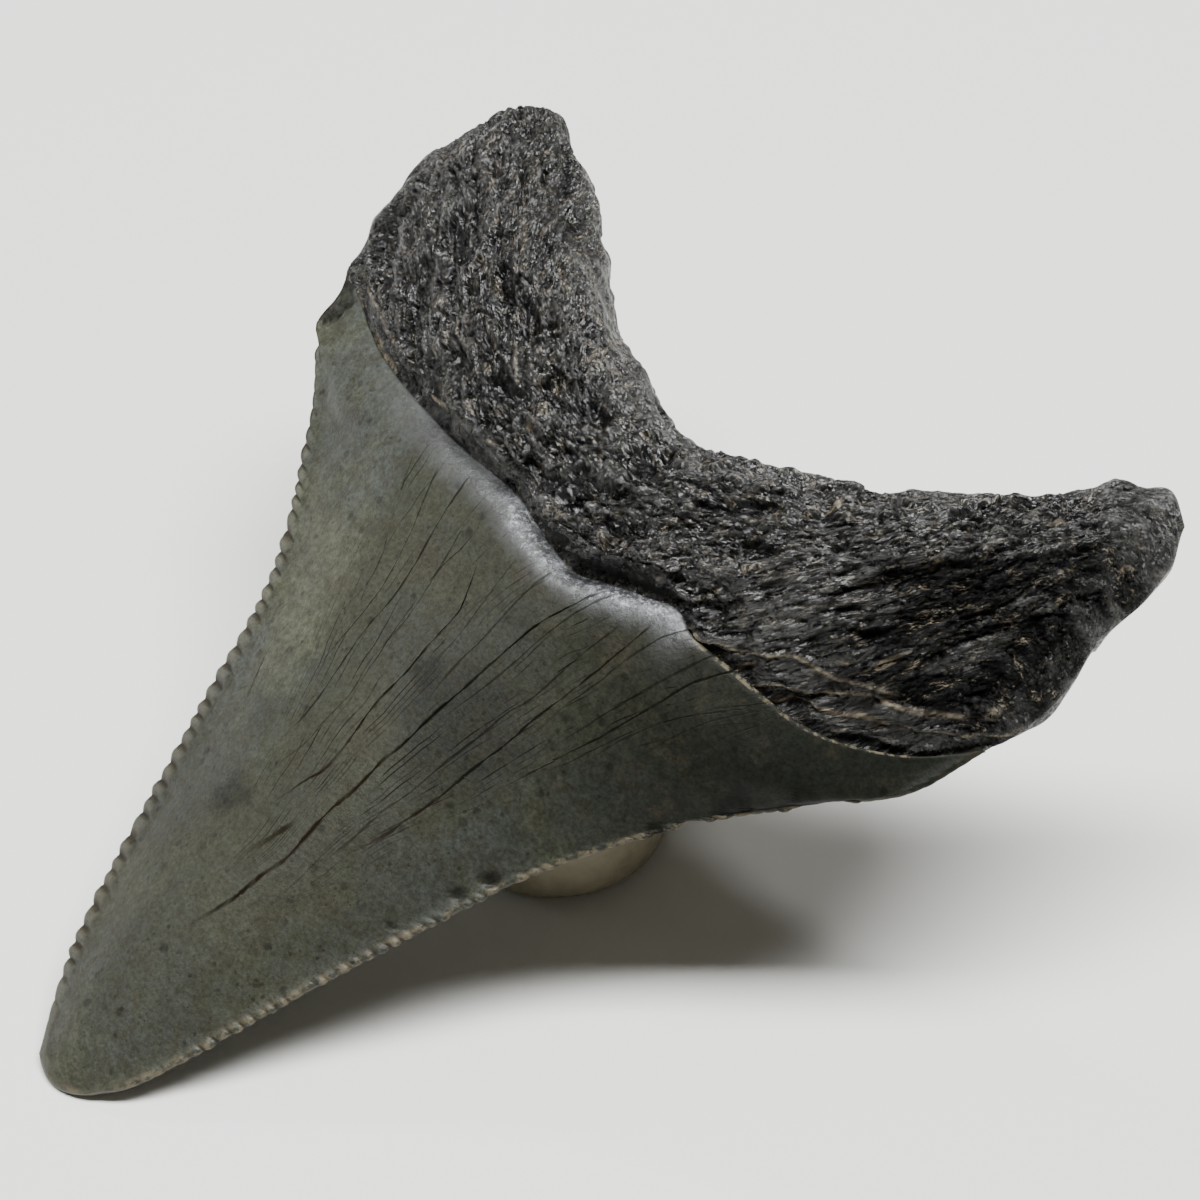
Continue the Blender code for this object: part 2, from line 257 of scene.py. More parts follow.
def stitched(firstIds, firstAt, secondIds, secondAt):
    # triangles between two rows that share their ends or run side by side
    made = []
    i = 0
    k = 0
    while i < len(firstIds) - 1 or k < len(secondIds) - 1:
        goFirst = k == len(secondIds) - 1 or (i < len(firstIds) - 1 and firstAt[i + 1] <= secondAt[k + 1])
        ahead = firstIds[i + 1] if goFirst else secondIds[k + 1]
        corners = (firstIds[i], ahead, secondIds[k])
        if len(set(corners)) == 3:
            made.append(corners)
        if goFirst:
            i += 1
        else:
            k += 1
    return np.array(made, int).reshape(-1, 3)


def makeMesh(name, points, quads, tris, smooth=True):
    data = bpy.data.meshes.new(name)
    data.vertices.add(len(points))
    data.vertices.foreach_set("co", np.asarray(points, np.float32).ravel())
    loops = np.concatenate([np.asarray(quads, int).ravel(), np.asarray(tris, int).ravel()])
    sizes = np.concatenate([np.full(len(quads), 4), np.full(len(tris), 3)])
    data.loops.add(len(loops))
    data.loops.foreach_set("vertex_index", loops.astype(np.int32))
    data.polygons.add(len(sizes))
    starts = np.concatenate([[0], np.cumsum(sizes)[:-1]])
    data.polygons.foreach_set("loop_start", starts.astype(np.int32))
    data.polygons.foreach_set("loop_total", sizes.astype(np.int32))
    data.polygons.foreach_set("use_smooth", np.full(len(sizes), smooth))
    data.update(calc_edges=True)
    data.validate()
    thing = bpy.data.objects.new(name, data)
    bpy.context.scene.collection.objects.link(thing)
    return thing


def keepValue(thing, name, values):
    kind = "FLOAT_VECTOR" if values.ndim == 2 else "FLOAT"
    field = thing.data.attributes.new(name, kind, "POINT")
    field.data.foreach_set("vector" if values.ndim == 2 else "value", values.astype(np.float32).ravel())


def pointsOf(thing):
    co = np.zeros(len(thing.data.vertices) * 3, np.float32)
    thing.data.vertices.foreach_get("co", co)
    return co.reshape(-1, 3).astype(float)


def normalsOf(thing):
    co = np.zeros(len(thing.data.vertices) * 3, np.float32)
    thing.data.vertex_normals.foreach_get("vector", co)
    return co.reshape(-1, 3).astype(float)


def setPoints(thing, points):
    thing.data.vertices.foreach_set("co", np.asarray(points, np.float32).ravel())
    thing.data.update()


def wearDown(thing, share, rounds):
    # draws the points that have a share towards the middle of their neighbours
    leastShare = 0.002
    fullPull = 0.6
    ends = np.zeros(len(thing.data.edges) * 2, np.int32)
    thing.data.edges.foreach_get("vertices", ends)
    ends = ends.reshape(-1, 2)
    ends = ends[share[ends].max(1) > leastShare]
    used, local = np.unique(ends, return_inverse=True)
    a, b = local.reshape(-1, 2).T
    points = pointsOf(thing)
    spots = points[used]
    count = np.bincount(a, minlength=len(used)) + np.bincount(b, minlength=len(used))
    pull = np.where(share[used] > leastShare, fullPull * share[used], 0.0)[:, None]
    for _ in range(rounds):
        around = np.stack([np.bincount(a, spots[b, k], len(used)) + np.bincount(b, spots[a, k], len(used))
                           for k in range(3)], -1)
        spots = spots + (around / count[:, None] - spots) * pull
    points[used] = spots
    setPoints(thing, points)


def moveBy(thing, heights):
    setPoints(thing, pointsOf(thing) + normalsOf(thing) * heights[:, None])


crownPiece = {
    "rows": 410,
    "beads": {"left": 46, "right": 68},
    "innerColumns": 128,        # between the edge bands
    "outerColumns": 32,         # a whole share of innerColumns
    "edgeBand": [0.0, 0.06, 0.14, 0.24, 0.36, 0.5, 0.68, 0.9, 1.2, 1.6],
    "edgeHalfThickness": 0.24,
    "edgeRounding": 0.34,
    "beadDepth": {"left": 0.26, "right": 0.15},
    "beadReach": {"left": 0.6, "right": 0.3},
    "grooveDepth": {"left": 0.25, "right": 0.07},
    "grooveReach": {"left": 0.85, "right": 0.38},
    # side, place along the edge, width and depth of each nick
    "nicks": [("right", 0.83, 0.020, 0.55), ("right", 0.69, 0.010, 0.35),
              ("left", 0.965, 0.030, 0.45), ("left", 0.90, 0.012, 0.4)],
    # x, y, reach and depth of the shallow flaked places
    "flaked": [(9.5, 20.4, 0.5, 0.12), (10.4, 22.0, 0.6, 0.14), (15.4, 28.8, 0.5, 0.14),
               (18.1, 32.1, 0.9, 0.18), (20.7, 34.4, 0.7, 0.14), (7.9, 17.0, 0.3, 0.08),
               (-20.4, 40.4, 0.9, 0.24), (-20.2, 41.5, 0.9, 0.24), (-20.9, 42.3, 0.8, 0.2)],
    "chippedShoulder": {"width": 0.75, "from": (0.925, 0.94), "depth": 0.3},
    "rowLength": 38.0,          # from the tip to the neck along the middle
    "edgeLength": 47.0,         # and along an edge
    # how the enamel rolls off towards the root: share across, width and drop
    "rollOff": [(0.0, 0.3, 0.04), (0.12, 0.5, 0.08), (0.3, 0.8, 0.18), (0.43, 1.3, 0.48),
                (0.57, 1.5, 0.64), (0.66, 1.0, 0.36), (0.71, 0.4, 0.06), (1.0, 0.3, 0.02)],
    "lipRounding": 0.2,
    "lipDrop": 0.75,
}

# growth cracks from the neck down: strength, width in mm at the top and at the low end, points (x, y)
cracks = [
    (0.5, (0.03, 0.03), [(-7.7, 22.8), (-7.2, 21.7), (-6.7, 20.6)]),
    (0.45, (0.03, 0.02), [(-7.2, 35.5), (-6.2, 33.2), (-4.9, 30.5), (-4.8, 28.9), (-5.1, 27.6)]),
    (0.6, (0.03, 0.02), [(-5.3, 35.6), (-4.4, 32.8), (-3.8, 30.3), (-3.7, 28.5), (-3.9, 25.3),
                         (-3.8, 23.9)]),
    (0.75, (0.035, 0.03), [(-3.4, 36.1), (-3.1, 33.4), (-2.8, 31.7), (-2.6, 29.7), (-2.8, 27.6),
                           (-2.7, 25.7), (-2.4, 22.7), (-2.6, 21.0)]),
    (0.55, (0.03, 0.025), [(-1.5, 33.7), (-1.2, 31.3), (-1.0, 29.0), (-1.2, 26.5), (-0.9, 24.5),
                           (-1.1, 22.7), (-1.2, 21.1), (-1.7, 19.6)]),
    (0.95, (0.03, 0.045), [(0.9, 32.5), (1.4, 31.0), (1.2, 28.9), (1.1, 27.0), (0.8, 24.9),
                           (0.9, 22.7), (0.8, 20.8), (0.3, 19.7), (-0.3, 18.2)]),
    (0.45, (0.025, 0.03), [(2.3, 33.9), (2.3, 31.8), (2.3, 30.2), (2.2, 28.6), (2.2, 27.4)]),
    (0.55, (0.03, 0.03), [(4.4, 35.2), (4.0, 33.6), (3.7, 31.6), (3.5, 30.2), (3.2, 28.6), (3.1, 26.7)]),
    (0.9, (0.08, 0.13), [(0.95, 16.9), (0.7, 16.2), (0.3, 15.4)]),
    (1.0, (0.035, 0.052), [(6.9, 35.2), (5.7, 32.9), (5.1, 31.1), (4.6, 29.2), (4.2, 27.6), (3.8, 26.0),
                          (3.5, 24.3), (3.1, 22.7), (2.9, 21.3), (2.6, 20.0), (2.35, 18.8), (2.25, 17.5),
                          (2.1, 16.1), (1.6, 14.6), (1.2, 13.0), (0.4, 11.1)]),
    (0.6, (0.03, 0.03), [(7.8, 36.1), (6.9, 34.3), (6.2, 32.3), (5.7, 30.4), (5.1, 28.5), (4.5, 26.8)]),
    (0.4, (0.03, 0.04), [(3.5, 17.6), (3.3, 15.9), (3.0, 14.5)]),
    (0.65, (0.03, 0.03), [(8.8, 34.1), (8.2, 32.3), (7.5, 29.8), (6.9, 28.5), (6.3, 26.3), (5.7, 24.4),
                          (5.2, 22.5), (4.6, 20.8), (4.2, 18.8), (3.9, 17.6)]),
    (0.9, (0.03, 0.04), [(10.2, 35.2), (9.8, 33.7), (9.3, 32.2), (8.8, 30.7), (8.2, 29.1), (7.8, 27.5),
                         (7.2, 25.7), (6.5, 23.3), (5.9, 21.6), (5.3, 19.9), (4.8, 18.9)]),
    (0.6, (0.035, 0.03), [(12.1, 37.2), (11.2, 35.9), (10.4, 34.1), (9.9, 32.5), (9.1, 30.5), (8.7, 28.9)]),
    (0.6, (0.03, 0.03), [(13.7, 36.7), (12.7, 34.7), (11.8, 32.9), (10.9, 31.2), (9.9, 29.1)]),
    (0.85, (0.035, 0.03), [(14.7, 36.5), (13.7, 35.1), (13.0, 33.5), (12.3, 32.2), (11.4, 30.5),
                           (10.5, 29.0), (9.7, 27.5), (8.9, 26.0)]),
    (0.5, (0.03, 0.025), [(15.8, 35.1), (14.4, 33.7), (13.2, 32.3), (12.1, 30.6), (11.5, 29.4)]),
    (0.45, (0.03, 0.025), [(16.7, 35.8), (15.5, 34.3), (14.3, 32.5), (13.3, 30.8)]),
    (0.35, (0.03, 0.025), [(17.9, 36.7), (16.8, 34.8), (16.1, 33.4)]),
]
mainCrack = 9
# where the cracks fan out: y, left side, right side
fan = [(10.0, -0.5, 2.5), (20.0, -3.0, 6.5), (28.0, -6.5, 11.5), (37.0, -9.0, 19.0)]


def beadWave(side, t):
    # 1 on a bead and 0 in a notch, uneven in pitch and size, and worn at the tip
    seed = 11 if side == "left" else 12
    count = crownPiece["beads"][side] * t
    zero = np.zeros_like(count)
    count = count + 0.3 * cloud(np.stack([count * 0.45, zero, zero], -1), seed)
    evenness = 0.55 if side == "left" else 0.05
    size = evenness + (1 - evenness) * cellNumber(np.stack([np.floor(count), zero, zero], -1), seed + 4)
    wave = np.abs(np.sin(np.pi * count)) ** 0.62
    worn = eased(0.02, 0.12, t) * (1.0 - 0.55 * eased(0.8, 0.95, t))
    if side == "left":
        worn = worn * (1.0 - 0.8 * eased(0.72, 0.84, t))
    return wave, worn * size


def edgeShift(side, t):
    wave, size = beadWave(side, t)
    shift = crownPiece["beadDepth"][side] * size * wave
    for nickSide, place, width, depth in crownPiece["nicks"]:
        if nickSide == side:
            shift = shift - depth * hump(t, place, width)
    return shift


def crackField(x, y):
    # whole numbers on the cracks and smooth between them, with the gap, strength and width there
    tracks, strengths, widths = [], [], []
    for strength, (topWidth, lowWidth), points in cracks:
        line = lineThrough([(py, px) for px, py in points[::-1]])
        low, high = points[-1][1], points[0][1]
        slopeLow = (line["y"][6] - line["y"][0]) / (line["x"][6] - line["x"][0])
        slopeHigh = (line["y"][-1] - line["y"][-7]) / (line["x"][-1] - line["x"][-7])
        track = np.interp(y, line["x"], line["y"])
        tracks.append(track + np.minimum(y - low, 0) * slopeLow + np.maximum(y - high, 0) * slopeHigh)
        strengths.append(strength * eased(low - 1.2, low + 2.0, y) * (1 - eased(high + 0.2, high + 1.2, y)))
        widths.append(mixed(lowWidth, topWidth, eased(low, high, y)))
    zero = np.zeros_like(y)
    mainAt = tracks[mainCrack]
    farOff = 60.0
    tracks = np.stack([zero - farOff] + tracks + [zero + farOff])
    strengths = np.stack([zero] + strengths + [zero])
    widths = np.stack([zero + 0.03] + widths + [zero + 0.03])
    # a crack that has ended is spread evenly between those that have not
    number = np.arange(len(tracks))[:, None, None] + 0.0 * tracks
    stillOpen = strengths > 0
    stillOpen[0] = stillOpen[-1] = True
    last = np.maximum.accumulate(np.where(stillOpen, number, -1), axis=0).astype(int)
    ahead = np.minimum.accumulate(np.where(stillOpen, number, 999)[::-1], axis=0)[::-1].astype(int)
    tracks = mixed(np.take_along_axis(tracks, last, 0), np.take_along_axis(tracks, ahead, 0),
                   (number - last) / np.maximum(ahead - last, 1))
    gaps = np.maximum(np.diff(tracks, axis=0), 0.05)
    slopes = 0.5 / gaps[1:] + 0.5 / gaps[:-1]
    slopes = np.minimum(slopes, 3.0 / np.maximum(gaps[1:], gaps[:-1]))
    slopes = np.concatenate([1 / gaps[:1], slopes, 1 / gaps[-1:]])
    below = np.clip((tracks <= x).sum(0) - 1, 0, len(tracks) - 2)[None]
    gap = np.take_along_axis(gaps, below, 0)[0]
    part = np.clip((x - np.take_along_axis(tracks, below, 0)[0]) / gap, 0, 1)
    start = np.take_along_axis(slopes, below, 0)[0] * gap
    end = np.take_along_axis(slopes, below + 1, 0)[0] * gap
    field = (start * part * (1 - part) ** 2 + part * part * (3 - 2 * part) - end * part * part * (1 - part))
    rate = (start * (1 - part) * (1 - 3 * part) + 6 * part * (1 - part) + end * part * (3 * part - 2)) / gap
    nearer = below + (part > 0.5)
    edges = np.array(fan)
    left, right = np.interp(y, edges[:, 0], edges[:, 1]), np.interp(y, edges[:, 0], edges[:, 2])
    across = (x - mainAt) / (right - left)
    inFan = eased(left - 1.0, left + 2.0, x) * (1 - eased(right - 2.5, right + 1.0, x)) * eased(11, 20, y)
    return {"streak": below[0] + field, "streakGap": 1 / np.maximum(rate, 0.05),
            "streakStrength": np.take_along_axis(strengths, nearer, 0)[0],
            "streakWidth": np.take_along_axis(widths, nearer, 0)[0], "fanAcross": across,
            "fanWidth": (right - left) / enamelLook["faintLines"] / 0.03, "inFan": inFan}


def edgeBands(width, inner):
    # share across for every column of rows that are width mm wide
    band = np.array(crownPiece["edgeBand"])[None] * np.minimum(1.0, width / 5.0)[:, None]
    band = band / width[:, None]
    between = np.linspace(0, 1, crownPiece["innerColumns" if inner else "outerColumns"] + 1)[1:-1]
    middle = mixed(band[:, -1:], 1 - band[:, -1:], between[None])
    return np.concatenate([band, middle, 1 - band[:, ::-1]], 1)


def crownSheet(inner):
    even = np.arange(1, crownPiece["rows"] + 1) / crownPiece["rows"]
    t = np.concatenate([[0.0, 0.0005, 0.0011], even])
    reach = placeOn(edgeLines["right"], t) - placeOn(edgeLines["left"], t)
    width = np.linalg.norm(reach, axis=-1)
    s = edgeBands(width, inner)
    t = np.repeat(t[:, None], s.shape[1], 1)
    place = crownPlan(s, t, 1.0 if inner else toothForm["outerDipShare"])
    fromLeft = s * width[:, None]
    fromRight = (1 - s) * width[:, None]
    body = np.abs(crownHeight(s, t, inner))
    notch = 0.0
    groove = 0.0
    nicked = 0.0
    for side, away in (("left", fromLeft), ("right", fromRight)):
        wave, size = beadWave(side, t)
        shift = edgeShift(side, t)
        near = np.exp(-(away / crownPiece["beadReach"][side]) ** 2)
        place = place + outwardOf(side, t) * (shift * near)[..., None]
        between = (1 - wave) * size * np.exp(-(away / crownPiece["grooveReach"][side]) ** 3)
        notch = notch + between
        groove = groove + crownPiece["grooveDepth"][side] * between
        nicked = nicked + np.clip(-shift, 0, 1) * np.exp(-(away / 1.2) ** 2)
    rim = np.minimum(np.minimum(fromLeft, fromRight), t * crownPiece["edgeLength"])
    roundOff = np.sqrt(1 - (1 - np.clip(rim / crownPiece["edgeRounding"], 0, 1)) ** 2)
    base = crownPiece["edgeHalfThickness"] * roundOff * (1 - 0.45 * notch)
    height = (body ** 2.5 + base ** 2.5) ** 0.4
    height = height - np.minimum(groove, 0.6 * height)
    height = height - np.minimum(0.3 * nicked, 0.5 * height)
    flaked = np.zeros_like(s)
    if inner:
        fromNeck = (1 - t) * crownPiece["rowLength"]
        rolls = np.array(crownPiece["rollOff"])
        rollWidth = np.interp(s, rolls[:, 0], rolls[:, 1])
        rollDrop = np.interp(s, rolls[:, 0], rolls[:, 2])
        height = height - rollDrop * np.clip(1 - fromNeck / rollWidth, 0, 1) ** 2
        for x, y, reachOf, depth in crownPiece["flaked"]:
            away = np.hypot(place[..., 0] - x, place[..., 1] - y)
            wobble = 1 + 0.35 * cloud(np.stack([place[..., 0] * 1.3, place[..., 1] * 1.3, s], -1), 31)
            mark = 1 - eased(reachOf * 0.5, reachOf, away * wobble)
            flaked = np.maximum(flaked, mark)
            height = height - np.minimum(depth * mark, 0.6 * height)
        chip = crownPiece["chippedShoulder"]
        ragged = fromLeft + 0.22 * cloud(np.stack([place[..., 0] * 2.2, place[..., 1] * 2.2, s], -1), 33)
        mark = (1 - eased(chip["width"] - 0.06, chip["width"] + 0.06, ragged)) * eased(*chip["from"], t)
        flaked = np.maximum(flaked, mark)
        height = height - np.minimum(chip["depth"] * mark, 0.6 * height)
    values = crackField(place[..., 0], place[..., 1])
    if not inner:
        values["streakStrength"] = np.zeros_like(s)
        values["inFan"] = values["inFan"] * 0.5
    ripple = cloud(np.stack([place[..., 0] * 0.5, place[..., 1] * 0.16, np.zeros_like(s)], -1), 21 + inner)
    height = height + 0.05 * ripple * eased(0.5, 2.5, rim)
    points = np.concatenate([place, (height if inner else -height)[..., None]], -1)
    values.update({"notch": notch, "rimAway": rim, "flaked": flaked, "across": s,
                   "neckAway": (1 - t) * crownPiece["rowLength"]})
    # the lip, rounded over and turned down into the root
    upward = points[-1] - points[-2]
    upward[:, 2] = 0
    upward /= np.linalg.norm(upward, axis=-1, keepdims=True)
    lip = []
    sign = 1.0 if inner else -1.0
    room = np.abs(points[-1][:, 2])
    radius = np.minimum(crownPiece["lipRounding"], 0.4 * room)
    drop = np.minimum(crownPiece["lipDrop"], 0.75 * room)
    for angle in np.radians([25, 50, 75, 90]):
        moved = points[-1] + upward * (radius * np.sin(angle))[:, None]
        moved[:, 2] -= sign * radius * (1 - np.cos(angle))
        lip.append(moved)
    sunk = lip[-1].copy()
    sunk[:, 2] = points[-1][:, 2] - sign * drop
    lip.append(sunk)
    points = np.concatenate([points, np.array(lip)], 0)
    for name in values:
        values[name] = np.concatenate([values[name], np.repeat(values[name][-1:], len(lip), 0)], 0)
    return points, s, values


def buildCrown():
    innerPoints, innerS, innerValues = crownSheet(True)
    outerPoints, outerS, outerValues = crownSheet(False)
    rows, cols = innerPoints.shape[:2]
    outerCols = outerPoints.shape[1]
    innerIds = np.arange(rows * cols).reshape(rows, cols)
    innerPoints[:, 0, 2] = 0
    innerPoints[:, -1, 2] = 0
    innerPoints[0, :, 2] = 0
    outerIds = np.full((rows, outerCols), -1)
    outerIds[:, 0] = innerIds[:, 0]
    outerIds[:, -1] = innerIds[:, -1]
    free = np.zeros((rows, outerCols), bool)
    free[1:, 1:-1] = True
    outerIds[free] = rows * cols + np.arange(free.sum())
    points = np.concatenate([innerPoints.reshape(-1, 3), outerPoints[free]], 0)
    quads = np.concatenate([gridQuads(innerIds, True), gridQuads(outerIds[1:], False)], 0)
    tipTris = stitched(innerIds[0], innerS[0], outerIds[1], outerS[1])[:, ::-1]
    neckTris = stitched(innerIds[-1], innerS[-1], outerIds[-1], outerS[-1])
    thing = makeMesh("crown", points, quads, np.concatenate([tipTris, neckTris], 0))
    for name in innerValues:
        keepValue(thing, name, np.concatenate([innerValues[name].ravel(), outerValues[name][free]]))
    keepValue(thing, "place", points)
    print("crown:", len(quads) * 2 + len(tipTris) + len(neckTris), "triangles")
    return thing


rootPiece = {
    "columns": 400,
    "innerRows": 138,
    "outerRows": 62,
    "underEnamel": 0.5,         # how far the root reaches under the crown
    "lumpCentre": (2.0, 30.0),
    "lumpRadius": 24.0,
    # groove along the middle of the neck: share across, distance from the enamel
    "groove": [(0.42, 0.75), (0.445, 0.6), (0.475, 0.5), (0.52, 0.35), (0.56, 0.3),
               (0.60, 0.25), (0.645, 0.25), (0.695, 0.25)],
    "grooveWidth": 0.21,
    "grooveDepth": 0.55,
    # thin ledges beside the neck: step, then share across and up
    "ledges": [(0.30, [(0.70, 0.0), (0.730, 0.025), (0.760, 0.075), (0.800, 0.150),
                       (0.840, 0.163), (0.9, 0.19)]),
               (0.28, [(0.775, -0.03), (0.790, 0.0), (0.825, 0.087), (0.875, 0.150),
                       (0.905, 0.155), (0.96, 0.16)]),
               (0.24, [(0.80, -0.03), (0.830, 0.037), (0.860, 0.075), (0.885, 0.087),
                       (0.935, 0.10), (1.0, 0.11)])],
    "grainTurns": (0.28, 0.72),     # shares across where the grain turns up into the lobes
    # line where the left lobe's top breaks off to its side
    "lobeFold": [(-8.1, 43.2), (-12.5, 46.6), (-15.4, 49.1), (-17.5, 52.4), (-19.0, 55.5)],
    "brokenLedge": [(0.80, 0.55), (0.835, 0.588), (0.895, 0.625), (0.945, 0.75), (0.985, 0.95)],
    # corners pushed in: x, y, reach, and the push in x and y
    "blunted": [(-17.2, 57.4, 1.5, -0.3, -0.1)],
    # deep splits: width, depth, points across and up
    "splits": [(0.16, 0.5, [(0.285, 0.45), (0.300, 0.487), (0.340, 0.588), (0.365, 0.74)]),
               (0.14, 0.45, [(0.325, 0.42), (0.340, 0.463), (0.365, 0.588), (0.375, 0.738)]),
               (0.12, 0.35, [(0.14, 0.17), (0.160, 0.200), (0.230, 0.300), (0.25, 0.31)]),
               (0.12, 0.4, [(0.300, 0.60), (0.305, 0.562), (0.325, 0.500), (0.340, 0.412)])],
}


def evenShares(lengths, count):
    run = np.concatenate([[0.0], np.cumsum(lengths)])
    return np.interp(np.linspace(0, run[-1], count + 1), run, np.linspace(0, 1, len(run)))


def rootColumns():
    fine = np.linspace(0, 1, 801)
    total = 0.0
    for u in (0.25, 0.5, 0.75):
        up = np.full_like(fine, u)
        line = np.concatenate([rootPlan(fine, up, 1.0), rootHeight(fine, up, True)[:, None]], -1)
        total = total + np.linalg.norm(np.diff(line, axis=0), axis=-1)
    return evenShares(total, rootPiece["columns"])


def rootRows(inner, count):
    fine = np.linspace(0, 1, 801)
    total = 0.0
    for s in (0.2, 0.35, 0.5, 0.65, 0.8):
        across = np.full_like(fine, s)
        plan = rootPlan(across, fine, 1.0 if inner else toothForm["outerDipShare"])
        line = np.concatenate([plan, rootHeight(across, fine, inner)[:, None]], -1)
        total = total + np.linalg.norm(np.diff(line, axis=0), axis=-1)
    return evenShares(total, count)


def rootSheet(inner, s):
    dipShare = 1.0 if inner else toothForm["outerDipShare"]
    u = rootRows(inner, rootPiece["innerRows" if inner else "outerRows"])
    ones = np.ones_like(s)
    length = np.linalg.norm(rootPlan(s, ones, dipShare) - rootPlan(s, 0 * ones, dipShare), axis=-1)
    rows = [-rootPiece["underEnamel"] / length, -0.5 * rootPiece["underEnamel"] / length]
    u = np.concatenate([rows, np.repeat(u[:, None], len(s), 1)], 0)
    s = np.repeat(s[None], len(u), 0)
    length = np.repeat(length[None], len(u), 0)
    tucked = 0.5 + (s - 0.5) * (1.0 - 0.024 * np.clip(-u * length / rootPiece["underEnamel"], 0, 1))
    place = rootPlan(tucked, u, dipShare)
    height = rootHeight(s, u, inner)
    neck = np.abs(crownHeight(s, np.ones_like(s), inner))
    fromNeck = u * length
    if inner:
        rolls = np.array(crownPiece["rollOff"])
        sink = np.interp(s, rolls[:, 0], rolls[:, 2]) + 0.22
    else:
        sink = 0.3 + 0 * s
    sink = np.minimum(sink, 0.5 * neck) * np.exp(-(np.maximum(fromNeck - 0.15, 0) / 0.35) ** 2)
    sink = sink + np.minimum(0.35, 0.3 * neck) * eased(0.0, 0.4, -fromNeck)
    height = height - sink * (1 if inner else -1)
    points = np.concatenate([place, height[..., None]], -1)
    return points, s, u, fromNeck, length


def distanceAbove(pairs, s, u, length):
    # mm that a place lies above a line given by share across and up, and if it is beside it
    pairs = np.array(pairs)
    beside = eased(pairs[0, 0] - 0.004, pairs[0, 0] + 0.012, s)
    beside = beside * (1 - eased(pairs[-1, 0] - 0.012, pairs[-1, 0] + 0.004, s))
    return (u - np.interp(s, pairs[:, 0], pairs[:, 1])) * length, beside


def distanceTo(points, x, y):
    # shortest distance in mm from places to a broken line in the plan
    best = np.full_like(x, 99.0)
    for (ax, ay), (bx, by) in zip(points, points[1:]):
        long = (bx - ax) ** 2 + (by - ay) ** 2
        part = np.clip(((x - ax) * (bx - ax) + (y - ay) * (by - ay)) / long, 0, 1)
        best = np.minimum(best, np.hypot(x - ax - part * (bx - ax), y - ay - part * (by - ay)))
    return best


